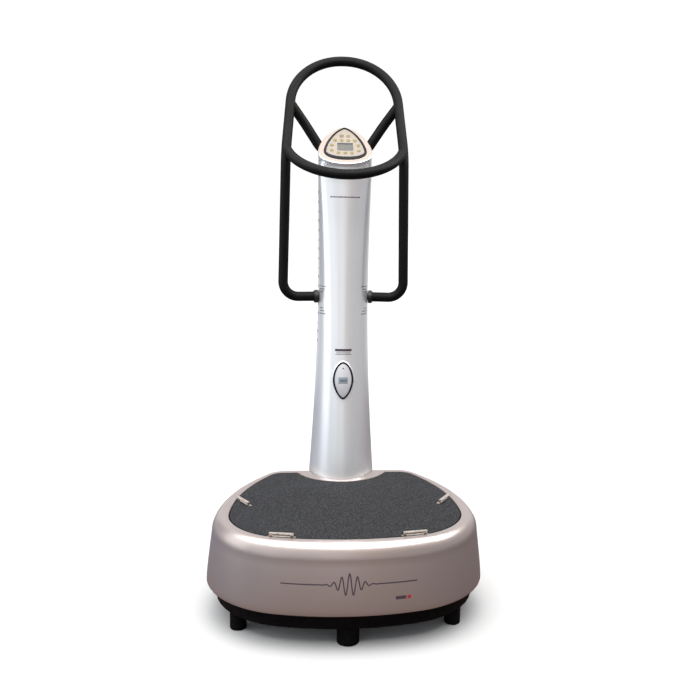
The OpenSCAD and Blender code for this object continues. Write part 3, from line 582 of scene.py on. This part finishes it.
def console_housing():
    """The head: a wall that blends from the column's section to the sloping panel, with a rolled edge."""
    count = 200
    angles = [360 * i / count - 90 for i in range(count)]
    seam = COL_TOP + 0.5
    rings = []

    def wall_ring(t, g, drop=0.0):
        ring = []
        for ang in angles:
            low, top, e = col_pt(seam, ang, g), head_top(ang, g), t ** 6
            ring.append((lerp(low[0], top[0], e), lerp(low[1], top[1], e), lerp(seam, top[2] - drop, t)))
        return ring

    fillet = 4.0
    rings += [wall_ring(0, -0.5), [(x, y, z + 0.5) for x, y, z in wall_ring(0, 0)]]
    rings += [wall_ring(t / 12, 0, fillet) for t in range(1, 13)]
    seats = [Vector(on_panel(*oval_pt(60.3, 34.3, 98.3, 2.27, 1.5, PANEL_MID, ang), 0)) for ang in angles]
    tops = [Vector(head_top(ang)) for ang in angles]
    wall_count = len(rings)
    for i in range(1, 8):
        a = math.radians(90 * i / 7)
        ring = []
        for top, seat in zip(tops, seats):
            inward = seat - top
            reach = min(fillet, inward.length * 0.6)
            drop = Vector((0, 0, fillet * (1 - math.sin(a))))
            ring.append(tuple(top + inward.normalized() * reach * (1 - math.cos(a)) - drop))
        rings.append(ring)
    rings.append([tuple(s + (t - s).normalized() * 0.8) for s, t in zip(seats, tops)])
    out = Vector((0, -COS45, COS45))
    rings.append([tuple(s - out * 0.8) for s in seats])
    rings.append([tuple(s - out * 3) for s in seats])
    rings.append([on_panel(*oval_pt(61.3, 35.3, 99.3, 2.27, 1.5, PANEL_MID, ang), -3) for ang in angles])
    rings += [wall_ring(t / 4, -WALL, 6) for t in range(3, -1, -1)]
    points, faces = skin(rings, loop=True)
    slots = [0] * len(faces)
    # The rolled top edge takes the champagne material, whose tint is partly a painted warm light from above.
    for k in range((wall_count + 2) * count, (wall_count + 9) * count):
        slots[k] = 1
    return make_mesh("console_shell", points, faces, M["silver"], "base",
                     ["console_housing"], 40, [M["head_top"]], slots)


def rounded_band(name, outer, inner, height, depth, place, material, node, steps=12):
    """A raised band between two outlines, half round on top."""
    rings = [[place(x, y, -depth) for x, y in outer]]
    for i in range(steps + 1):
        a = math.pi * i / steps
        t = (1 - math.cos(a)) / 2
        rings.append([place(lerp(p[0], q[0], t), lerp(p[1], q[1], t), height * math.sin(a) ** 0.45)
                      for p, q in zip(outer, inner)])
    rings.append([place(x, y, -depth) for x, y in inner])
    points, faces = skin(rings, loop=True)
    return make_mesh(name, points, faces, material, "base", [node], 45)


def plate_on(name, outline, top, thick, place, material, nodes, edge=0.4, body="base"):
    """A flat plate with a softened edge."""
    n = len(outline)
    cx, cy = sum(p[0] for p in outline) / n, sum(p[1] for p in outline) / n

    def shrunk(g, w):
        ring = []
        for x, y in outline:
            d = math.hypot(x - cx, y - cy)
            k = (d - g) / d
            ring.append(place(cx + (x - cx) * k, cy + (y - cy) * k, w))
        return ring

    points, faces = skin([shrunk(0, top - thick), shrunk(0, top - edge),
                          shrunk(edge * 0.3, top - edge * 0.3), shrunk(edge, top)])
    return make_mesh(name, points, faces, material, body, nodes, 40)


def window_part(name, outline, top, thick, place, material, edge, nodes=()):
    plate_on(name, outline, top, thick, place, M[material], nodes, edge)


def rectangle(cx, cy, w, h, r=1.0, steps=6):
    pts = []
    for sx, sy, start in ((1, 1, 0), (-1, 1, 90), (-1, -1, 180), (1, -1, 270)):
        for i in range(steps + 1):
            a = math.radians(start + 90 * i / steps)
            pts.append((cx + sx * (w / 2 - r) + r * math.cos(a), cy + sy * (h / 2 - r) + r * math.sin(a)))
    return pts


def circle(cx, cy, r, count=32):
    return [(cx + r * math.cos(a), cy + r * math.sin(a)) for a in full_turn(count)]


# Each key's place on the panel, across and up the slope, and the plain symbol on it.
KEYS = {"start_key": (-9.3, 108.3, None), "stop_key": (9.3, 108.3, "square"),
        "program_key": (-28, 90, "bars"), "repeat_key": (-9.3, 90, "ring"),
        "pause_key": (9.3, 90, "pause"), "memory_key": (28, 90, "dot"),
        "time_down_key": (-37.6, 69.5, "minus"), "time_up_key": (37.6, 69.5, "plus"),
        "frequency_down_key": (-38, 48.5, "down"), "frequency_up_key": (38, 48.5, "up"),
        "low_amplitude_key": (-18.8, 38, "minus"), "amplitude_key": (0, 38, "bars"),
        "high_amplitude_key": (18.8, 38, "plus")}
KEY_R = 5.25


def glyph_outlines(kind):
    if kind == "square":
        return [rectangle(0, 0, 2.6, 2.6, 0.2, 2)]
    if kind == "bars":
        return [rectangle(0, v, 3.4, 0.6, 0.2, 2) for v in (-1.2, 0, 1.2)]
    if kind == "pause":
        return [rectangle(u, 0, 0.8, 3, 0.2, 2) for u in (-0.9, 0.9)]
    if kind == "dot":
        return [circle(0, 0, 1.2, 20)]
    if kind == "minus":
        return [rectangle(0, 0, 3.4, 0.8, 0.2, 2)]
    if kind == "plus":
        return [rectangle(0, 0, 3.4, 0.8, 0.2, 2)] + [rectangle(0, v, 0.8, 1.6, 0.2, 2) for v in (1.3, -1.3)]
    if kind == "up":
        return [[(-1.7, -1.1), (1.7, -1.1), (0, 1.6)]]
    if kind == "down":
        return [[(-1.7, 1.1), (0, -1.6), (1.7, 1.1)]]
    return [rectangle(u, v, 1, 1, 0.2, 2) for u, v in ((-1.2, 0), (1.2, 0), (0, 1.2), (0, -1.2))]


def dome_height(r):
    """Height of a key's top over the panel at radius r."""
    return 0.75 + 0.5 * (1 - (r / KEY_R) ** 2)


def key_caps():
    profile = [(KEY_R, -3.2), (KEY_R, 0.2), (5.1, 0.55), (4.8, 0.78)]
    profile += [(r, dome_height(r)) for r in (4.2, 3.4, 2.5, 1.6, 0.8, 0.05)]
    for key, (u, v, glyph) in KEYS.items():
        body = key + "_body"
        rings = [[on_panel(u + x, v + y, w) for x, y, w in ring] for ring in lathe(profile, 36)]
        points, faces = skin(rings)
        green = key == "start_key"
        make_mesh(key + "_cap", points, faces, M["green" if green else "olive"], body,
                  [key], 50)
        if not glyph:
            continue
        points, faces = [], []
        for outline in glyph_outlines(glyph):
            start = len(points)
            points += [on_panel(u + x, v + y, dome_height(math.hypot(x, y)) + 0.06) for x, y in outline]
            faces.append(tuple(range(start, start + len(outline))))
        make_mesh(key + "_mark", points, faces, M["glyph"], body)


def console():
    console_housing()
    rounded_band("console_rim", panel_oval(60, 34, 98, 2.27), panel_oval(54.3, 22.5, 92.8, 2.1), 1.8, 2.9,
                 on_panel, M["bezel"], "console_bezel")
    plate_on("console_overlay", panel_oval(54, 22.2, 92.5, 2.1), -0.2, 2, on_panel, M["fascia"],
             ["console_fascia"])
    window_part("console_window_frame", rectangle(0, 64, 45, 32, 1.5), -0.12, 0.3, on_panel, "glyph", 0.05)
    window_part("console_window", rectangle(0, 64, 43.4, 30.4, 1.2), 0.0, 0.4, on_panel, "lcd", 0.05,
                ["console_display"])
    window_part("console_window_band", rectangle(0, 76, 42.6, 5.8, 0.3), 0.06, 0.04, on_panel, "lcd_dark", 0.02)
    for i in range(7):
        window_part(f"console_window_cell_{i}", rectangle(-17.4 + 5.8 * i, 76.2, 3.2, 0.8, 0.2), 0.09, 0.03,
                    on_panel, "lcd", 0.01)
    start_u, start_v, _ = KEYS["start_key"]
    rings = [[on_panel(start_u + r * math.cos(a), start_v + r * math.sin(a), w) for a in full_turn(48)]
             for r, w in ((7.4, -0.3), (7.4, -0.05), (7.1, 0.1), (5.9, 0.1), (5.65, -0.05), (5.65, -0.3))]
    points, faces = skin(rings, loop=True)
    make_mesh("start_ring", points, faces, M["orange"], "base")
    key_caps()


# ------------------------------------------------------------------ repeater display
REPEATER_Z = 562
TILT = math.radians(3.2)
REPEATER_Y = col_front(REPEATER_Z) - 2.5


def on_repeater(u, v, w):
    """A point on the repeater's face: u across, v up, w out of it."""
    sin, cos = math.sin(TILT), math.cos(TILT)
    return (u, REPEATER_Y + v * sin - w * cos, REPEATER_Z + v * cos + w * sin)


def repeater_oval(g, count=120):
    return [oval_pt(30 + g, 57 + g, 53 + g, 1.6, 1.85, 0, 360 * i / count - 90) for i in range(count)]


def repeater():
    rings = []
    for share in (0.04, 0.3, 0.6, 1.0):
        edge = [(x * share, REPEATER_Z + v * share) for x, v in repeater_oval(2.2)]
        rings.append([(x, col_face_y(x, z) - 0.5, z) for x, z in edge])
    rings += [[on_repeater(x, v, w) for x, v in repeater_oval(g)]
              for g, w in ((1.7, -1.2), (1.2, -0.6), (0.4, -0.2))]
    points, faces = skin(rings)
    make_mesh("repeater_boss", points, faces, M["silver"], "base", ["repeater_housing"], 40)
    rounded_band("repeater_rim", repeater_oval(0), repeater_oval(-5.2), 3.0, 0.5, on_repeater, M["bezel"],
                 "repeater_bezel")
    plate_on("repeater_overlay", repeater_oval(-5.4), 1.6, 1.5, on_repeater, M["repeater_face"],
             ["repeater_fascia"])
    middle = -1.5
    window_part("repeater_window_frame", rectangle(0, middle, 26.4, 18.4, 1.4), 1.7, 0.2, on_repeater,
                "glyph", 0.03)
    window_part("repeater_window", rectangle(0, middle, 25, 17, 1), 1.85, 0.3, on_repeater, "lcd_blue", 0.05,
                ["repeater_display"])
    width = 5
    for i, u in enumerate((-6, 0.5, 7)):
        window_part(f"repeater_digit_{i}", rectangle(u, middle, width, 9, 0.6), 1.9, 0.06,
                    on_repeater, "lcd_dark", 0.01)
        for part, v in (("gap", 0.8), ("low", -3.8)):
            window_part(f"repeater_digit_{part}_{i}", rectangle(u, v, width - 2.2, 3, 0.3), 1.94, 0.05,
                        on_repeater, "lcd_blue", 0.01)
    rings = [[on_repeater(r * math.cos(a), 34 + r * math.sin(a), w) for a in full_turn(28)]
             for r, w in ((2.1, 1.2), (2.1, 1.8), (1.6, 2.3), (0.9, 2.6), (0.1, 2.7))]
    points, faces = skin(rings)
    make_mesh("repeater_lens", points, faces, M["eye"], "base", ["repeater_eye"], 50)


# ------------------------------------------------------------------ handlebar
TUBE_R = 14
SOCKET = Vector((72.6, 199, WAIST_Z - 20))
SOCKET_DIR = Vector((math.cos(math.radians(10)), -math.sin(math.radians(10)), 0))
LEG_HALF, KNEE_Z, HANDLE_H, LEAN = 176, 1209, 1495, 31
ELBOW = SOCKET + SOCKET_DIR * ((LEG_HALF - SOCKET.x) / math.cos(math.radians(10)))
KNEE = Vector((LEG_HALF - 10, 150, KNEE_Z))
ARCH_Z = HANDLE_H - TUBE_R
ARCH = Vector((LEG_HALF - 29.5, 150 + (ARCH_Z - KNEE_Z) * math.tan(math.radians(LEAN)), ARCH_Z))
STRUT_END, STRUT_DIR = Vector((40, 220.3, 1219)), Vector((0.61, 0.792, 0))


def flip(p):
    return Vector((-p.x, p.y, p.z))


def bent_path(corners, bends, step=4.0):
    """Centreline points of a tube with straight runs and arcs, close together on the arcs."""
    path = [corners[0]]
    for i in range(1, len(corners) - 1):
        before = (corners[i] - corners[i - 1]).normalized()
        after = (corners[i + 1] - corners[i]).normalized()
        turn = math.acos(max(-1, min(1, before.dot(after))))
        trim = bends[i] * math.tan(turn / 2)
        axis = before.cross(after).normalized()
        start = corners[i] - before * trim
        centre = start + axis.cross(before) * bends[i]
        run = (start - path[-1]).length
        pieces = max(1, int(run / 25))
        path += [path[-1].lerp(start, k / pieces) for k in range(1, pieces)]
        count = max(4, int(math.degrees(turn) / step))
        path += [centre + Matrix.Rotation(turn * k / count, 3, axis) @ (start - centre)
                 for k in range(count + 1)]
    last = corners[-1]
    pieces = max(1, int((last - path[-1]).length / 25))
    return path + [path[-1].lerp(last, k / pieces) for k in range(1, pieces + 1)]


def sweep(path, radius, count=40):
    """Round rings along a path, carried from point to point without twisting."""
    rings = []
    tangent = (path[1] - path[0]).normalized()
    normal = tangent.orthogonal().normalized()
    for i, point in enumerate(path):
        ahead = path[min(i + 1, len(path) - 1)] - path[max(i - 1, 0)]
        turned = tangent.rotation_difference(ahead.normalized())
        normal = turned @ normal
        tangent = ahead.normalized()
        side = tangent.cross(normal).normalized()
        rings.append([tuple(point + normal * (radius * math.cos(a)) + side * (radius * math.sin(a)))
                      for a in full_turn(count)])
    return rings


def handlebar():
    half = [SOCKET + SOCKET_DIR * 3, ELBOW, KNEE, ARCH]
    corners = half + [flip(p) for p in reversed(half)]
    points, faces = skin(sweep(bent_path(corners, [0, 45, 120, 153, 153, 120, 45, 0]), TUBE_R))
    make_mesh("hoop_tube", points, faces, M["handle"], "base", ["handlebar_hoop"], 60)
    reach, drop, span = 100, 66, 162
    sag = math.hypot(reach, drop)
    radius = (span * span + sag * sag) / (2 * sag)
    ahead = Vector((0, -reach, -drop)) / sag
    centre = Vector((0, 150.5, 1213)) - ahead * (radius - sag)
    limit = math.asin(span / radius)
    path = [centre + Vector((1, 0, 0)) * (radius * math.sin(a)) + ahead * (radius * math.cos(a))
            for a in [lerp(-limit, limit, i / 60) for i in range(61)]]
    points, faces = skin(sweep(path, TUBE_R))
    make_mesh("grip_bar", points, faces, M["handle"], "base", ["handlebar_crossbar"], 60)
    top = KNEE.lerp(ARCH, 0.52)
    turn = STRUT_END + STRUT_DIR * 40
    mid = top.lerp(turn, 0.5) + Vector((4, 5, 9))
    path = bent_path([top, mid, turn, STRUT_END + STRUT_DIR * 1.5], [0, 220, 34, 0])
    rings = sweep(path, TUBE_R)
    points, faces = skin(rings)
    make_mesh("strut_right", points, faces, M["handle"], "base", ["handlebar_struts"], 60)
    points, faces = skin(mirrored(rings))
    make_mesh("strut_left", points, faces, M["handle"], "base")
    profile = [(14.1, 0), (18.2, 0), (19, 0.8), (19, 8.2), (18.6, 9.4), (17.6, 10), (16.6, 10.2),
               (16.2, 10.6), (16.2, 11.4), (15.8, 12), (14.1, 12)]
    for name, origin, direction, shrink in (("lower_collar", SOCKET + SOCKET_DIR * 2, SOCKET_DIR, 0),
                                            ("upper_collar", STRUT_END + STRUT_DIR * 3.5, STRUT_DIR, 1)):
        rings = along(lathe([(r - shrink if r < 18 else r, z) for r, z in profile]), origin, direction)
        points, faces = skin(rings, loop=True)
        replaced = ["handlebar_collars"] if name == "lower_collar" else ()
        make_mesh(name + "_right", points, faces, M["collar"], "base", replaced, 40)
        points, faces = skin(mirrored(rings), loop=True)
        make_mesh(name + "_left", points, faces, M["collar"], "base")


# ------------------------------------------------------------------ platform
CLEATS = ((163, -329, 9.5), (-163, -329, -9.5), (268, -84, 58), (-268, -84, -58))    # x, y, turn


def grip_mat():
    """The mat, with a softened top edge and a notch for each cleat."""
    rings = []
    for g, z in ((0, DECK - 3.9), (0, DECK - 0.9), (-0.25, DECK - 0.3), (-0.9, DECK)):
        r = NOTCH_R - g
        rings.append(at_z(plan_outline(grown(MAT_PLAN, g), r, r), z))
    points, faces = skin(rings)
    piece = make_mesh("mat_sheet", points, faces, M["mat"], "platform", ["grip_mat"], 40)
    for x, y, turn in CLEATS:
        local = Matrix.Translation((x, y, DECK)) @ Matrix.Rotation(math.radians(turn), 4, "Z")
        cut_with_box(piece, local, (-35, -12, -8), (35, 5, 8))


def cover_point(x, z, lift):
    """A point in front of the base cover's face, near the middle."""
    t = clamp01((z - COVER_Z) / (DECK - SHOULDER - COVER_Z))
    plan = mixed(SKIRT_PLAN, RIM_PLAN, FLARE * t ** 1.2 / RIM_INSET)
    radius = plan[2]
    y = plan[0] + radius - math.sqrt((radius + lift) ** 2 - x * x)
    return (x, y, z)


def wave_decal():
    """A plain vibration trace printed on the front, a few tenths of a millimetre thick."""
    count, span, half = 700, 165, 1.6
    line = []
    for i in range(count + 1):
        x = lerp(-span, span, i / count)
        z = 172 + 27 * math.exp(-(x / 32) ** 2) * math.cos(2 * math.pi * x / 19)
        line.append((x, z))
    points, faces = [], []
    for i, (x, z) in enumerate(line):
        before, after = line[max(i - 1, 0)], line[min(i + 1, count)]
        dx, dz = after[0] - before[0], after[1] - before[1]
        length = math.hypot(dx, dz)
        nx, nz = -dz / length * half, dx / length * half
        points += [cover_point(x + nx, z + nz, 0.15), cover_point(x - nx, z - nz, 0.15)]
        if i:
            k = 2 * i
            faces.append((k - 2, k - 1, k + 1, k))
    make_mesh("front_trace", points, faces, M["ink"], "base")
    print_marks("front_bar_dark", [(112, 138, 130, 138)], cover_point, M["ink"])
    print_marks("front_bar_red", [(141, 150, 130, 138)], cover_point, M["accent"])


def print_marks(name, marks, surface, material):
    """Flat printed bars (x from, x to, z from, z to) laid on a surface."""
    points, faces = [], []
    for x0, x1, z0, z1 in marks:
        for i in range(7):
            x = lerp(x0, x1, i / 6)
            points += [surface(x, z0, 0.2), surface(x, z1, 0.2)]
            if i:
                k = len(points)
                faces.append((k - 4, k - 3, k - 1, k - 2))
    make_mesh(name, points, faces, material, "base")


SKIN_STEP = 0.4     # takes a print clear of the front shell, which stands forward of the split line


def column_point(x, z, lift):
    """A point in front of the column's face."""
    return (x, col_face_y(x, z) - SKIN_STEP - lift, z)


def flank_point(x, z, lift):
    """A point on the left flank; x counts degrees around the section from the left edge."""
    x, y = col_pt(z, 180 + x, lift)
    return (x - SKIN_STEP, y - SKIN_STEP, z)


def column_print():
    """Plain bars that stand where the column is printed: a fine row, a label, ticks and pinstripes."""
    row, x = [], -42
    for length in (6, 8, 5, 12, 10, 7, 9, 6, 8):
        row.append((x, x + length, 1085, 1088))
        x += length + 1.6
    print_marks("column_row", row, column_point, M["ink"])
    label = [(-24, 24, 645, 652), (-20, 20, 640, 641.5), (-24, 24, 635.5, 637)]
    print_marks("column_label", label, column_point, M["ink"])
    ticks = [(8, 13, 1096 - 27 * i, 1104 - 27 * i - (i % 3) * 2) for i in range(17)]
    print_marks("column_ticks", ticks, flank_point, M["ink"])
    stripes = []
    for side in (-1, 1):
        for i, width in enumerate((9, 13, 17)):
            for sign in (-1, 1):
                z = 790 + sign * (24 + 8 * i)
                ends = (side * (col_a(z) - 5), side * (col_a(z) - 5 - width))
                stripes.append((min(ends), max(ends), z, z + 2))
    print_marks("column_stripes", stripes, column_point, M["ink"])


# ------------------------------------------------------------------ CAD nodes that stay, with their finishes
FINISH = {
    "tray": ["base_tray"],
    "frame": ["chassis_frame", "mast", "handle_bracket", "vibration_plate"],
    "dark_zinc": ["cover_screws"],
    "steel": ["mast_bolts", "column_screws", "foot_lock_nuts", "motor_bolts"],
    "cleat": ["strap_cleats"],
    "cast": ["front_motor_housing", "rear_motor_housing"],
    "aluminium": ["motor_end_covers", "motor_controller"],
    "turned": ["motor_bearings", "front_rotor", "rear_rotor"],
    "brass": ["front_eccentrics", "rear_eccentrics"],
    "board": ["console_board"],
    "cable": ["console_cable"],
    "black_plastic": ["power_inlet"],
    "rocker": ["power_rocker"],
    "rubber": ["isolator_rubbers", "front_foot", "left_front_foot", "right_front_foot", "left_rear_foot",
               "right_rear_foot"]}


def finish_cad():
    """Gives each remaining CAD node its material and softens its edges; its mesh stays as it is."""
    for key, names in FINISH.items():
        for name in names:
            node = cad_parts[name]
            for slot in node.material_slots:
                slot.material = M[key]
            for polygon in node.data.polygons:
                polygon.use_smooth = True
            bevel = node.modifiers.new("edge", "BEVEL")
            bevel.width = 0.0006
            bevel.segments = 2
            bevel.limit_method = "ANGLE"
            bevel.angle_limit = math.radians(40)
            bevel.harden_normals = False
            weighted = node.modifiers.new("normals", "WEIGHTED_NORMAL")
            weighted.keep_sharp = True


base_cover()
column_half("column_front_skin", -1, "column_front_shell")
rear = column_half("column_rear_skin", 1, "column_rear_shell")
INLET_Z = 138
INLET = (Matrix.Translation((0, col_rear(INLET_Z), INLET_Z)) @ Matrix.Rotation(math.radians(-66), 4, "X")
         @ Matrix.Rotation(math.pi, 4, "Z"))
cut_with_box(rear, INLET, (-28.5, -22.5, -34), (28.5, 22.5, 26))
console()
repeater()
handlebar()
grip_mat()
wave_decal()
column_print()
finish_cad()


# ------------------------------------------------------------------ floor and light
def stage_sheet(name, corners, material):
    """One flat sheet of the stage, in metres."""
    mesh = bpy.data.meshes.new(name)
    mesh.from_pydata(corners, [], [(0, 1, 2, 3)])
    mesh.materials.append(material)
    piece = bpy.data.objects.new(name, mesh)
    scene.collection.objects.link(piece)
    return piece


def floor():
    """The pale floor; the cards under it, not the floor, are what the machine reflects."""
    size = 30
    material = new_material("floor_white", (0.62, 0.62, 0.62), 0, 0.9, Specular_IOR_Level=0.05)
    vary_roughness(material, 3, 0.85, 0.95)
    corners = [(-size, -size, 0), (size, -size, 0), (size, size, 0), (-size, size, 0)]
    piece = stage_sheet("floor", corners, material)
    piece.visible_diffuse = False
    piece.visible_glossy = False
    piece.visible_shadow = False


def softbox(name, place, target, size, energy, colour, highlights_only=False):
    """A rectangular lamp aimed at a target, which may be seen by reflections only."""
    data = bpy.data.lights.new(name, "AREA")
    data.shape = "RECTANGLE"
    data.size, data.size_y = size
    data.energy = energy
    data.color = colour
    lamp = bpy.data.objects.new(name, data)
    lamp.location = place
    lamp.rotation_euler = (Vector(target) - Vector(place)).to_track_quat("-Z", "Y").to_euler()
    lamp.visible_camera = False
    lamp.visible_diffuse = not highlights_only
    scene.collection.objects.link(lamp)


def card(name, corners, colour, bounces=False):
    """A matt card that only reflections see, or reflections and soft bounced light."""
    material = new_material(name, colour, 0, 0.9, Specular_IOR_Level=0.0)
    vary_colour(material, 2, tuple(0.95 * v for v in colour), colour)
    piece = stage_sheet(name, corners, material)
    piece.visible_camera = False
    piece.visible_diffuse = bounces
    piece.visible_shadow = False
    piece.visible_transmission = False


def lamps():
    top = bpy.data.lights.new("top_light", "SUN")
    top.energy = 4.4
    top.angle = math.radians(72)
    top.color = (1.0, 0.985, 0.965)
    lamp = bpy.data.objects.new("top_light", top)
    lamp.rotation_euler = (math.radians(5), 0, math.radians(-8))
    scene.collection.objects.link(lamp)
    softbox("left_side", (-2.6, -0.3, 1.2), (0, 0.15, 0.75), (1.7, 2.6), 27, (0.9, 0.96, 1.0))
    softbox("left_front", (-1.9, -2.2, 0.95), (0, 0.15, 0.65), (1.7, 2.6), 8, (0.92, 0.97, 1.0))
    softbox("front", (-0.3, -4.6, 0.95), (0, 0.15, 0.65), (1.4, 2.4), 6, (0.97, 0.98, 1.0))
    softbox("above_front", (0.05, -1.5, 2.9), (0, -0.3, 0.25), (3.2, 0.9), 120, (1.0, 0.99, 0.97), True)
    softbox("left_high", (-1.8, -0.55, 2.35), (-0.2, -0.2, 0.3), (1.4, 1.3), 45, (0.97, 0.99, 1.0), True)
    softbox("right_high", (1.95, -0.25, 2.3), (0.2, -0.1, 0.3), (1.5, 1.4), 85, (1.0, 0.97, 0.93), True)


def cards():
    """Upright cards round the machine, each between two floor points, and flat ones just under the floor."""
    low, high = 0.35, 2.6
    for name, near, far, colour in (("warm_card", (0.35, -3.1), (0.95, -2.85), (0.95, 0.58, 0.36)),
                                    ("pale_card", (0.95, -2.85), (2.2, -2.1), (0.72, 0.7, 0.66)),
                                    ("grey_card", (2.2, -2.1), (3.1, 2.8), (0.72, 0.72, 0.73)),
                                    ("cool_card", (-3.2, 0.9), (-2.6, 3.4), (0.42, 0.45, 0.5))):
        card(name, [near + (low,), far + (low,), far + (high,), near + (high,)], colour)
    front, back, under = -2.15, 2.6, -0.002
    for name, left, right, colour in (("floor_left", -3.2, -0.55, (0.1, 0.1, 0.14)),
                                      ("floor_middle", -0.55, 0.5, (0.13, 0.08, 0.066)),
                                      ("floor_right", 0.5, 3.2, (0.1, 0.078, 0.08))):
        card(name, [(left, front, under), (right, front, under), (right, back, under), (left, back, under)],
             colour, True)


def studio_world():
    """A plain pale sky, dimmer where it lights the machine than where the camera or a reflection sees it."""
    world = bpy.data.worlds.new("studio")
    world.use_nodes = True
    tree = world.node_tree
    path = tree.nodes.new("ShaderNodeLightPath")
    last = tree.nodes["Background"]
    last.inputs["Color"].default_value = (0.93, 0.95, 1, 1)
    last.inputs["Strength"].default_value = 0.5
    for ray, colour, strength in (("Is Glossy Ray", (0.95, 0.97, 1, 1), 0.85),
                                  ("Is Camera Ray", (1, 1, 1, 1), 1.05)):
        sky = tree.nodes.new("ShaderNodeBackground")
        sky.inputs["Color"].default_value = colour
        sky.inputs["Strength"].default_value = strength
        mix = tree.nodes.new("ShaderNodeMixShader")
        tree.links.new(path.outputs[ray], mix.inputs["Fac"])
        tree.links.new(last.outputs[0], mix.inputs[1])
        tree.links.new(sky.outputs["Background"], mix.inputs[2])
        last = mix
    tree.links.new(last.outputs[0], tree.nodes["World Output"].inputs["Surface"])
    scene.world = world
    scene.view_settings.view_transform = "Standard"
    scene.view_settings.look = "None"


floor()
lamps()
cards()
studio_world()
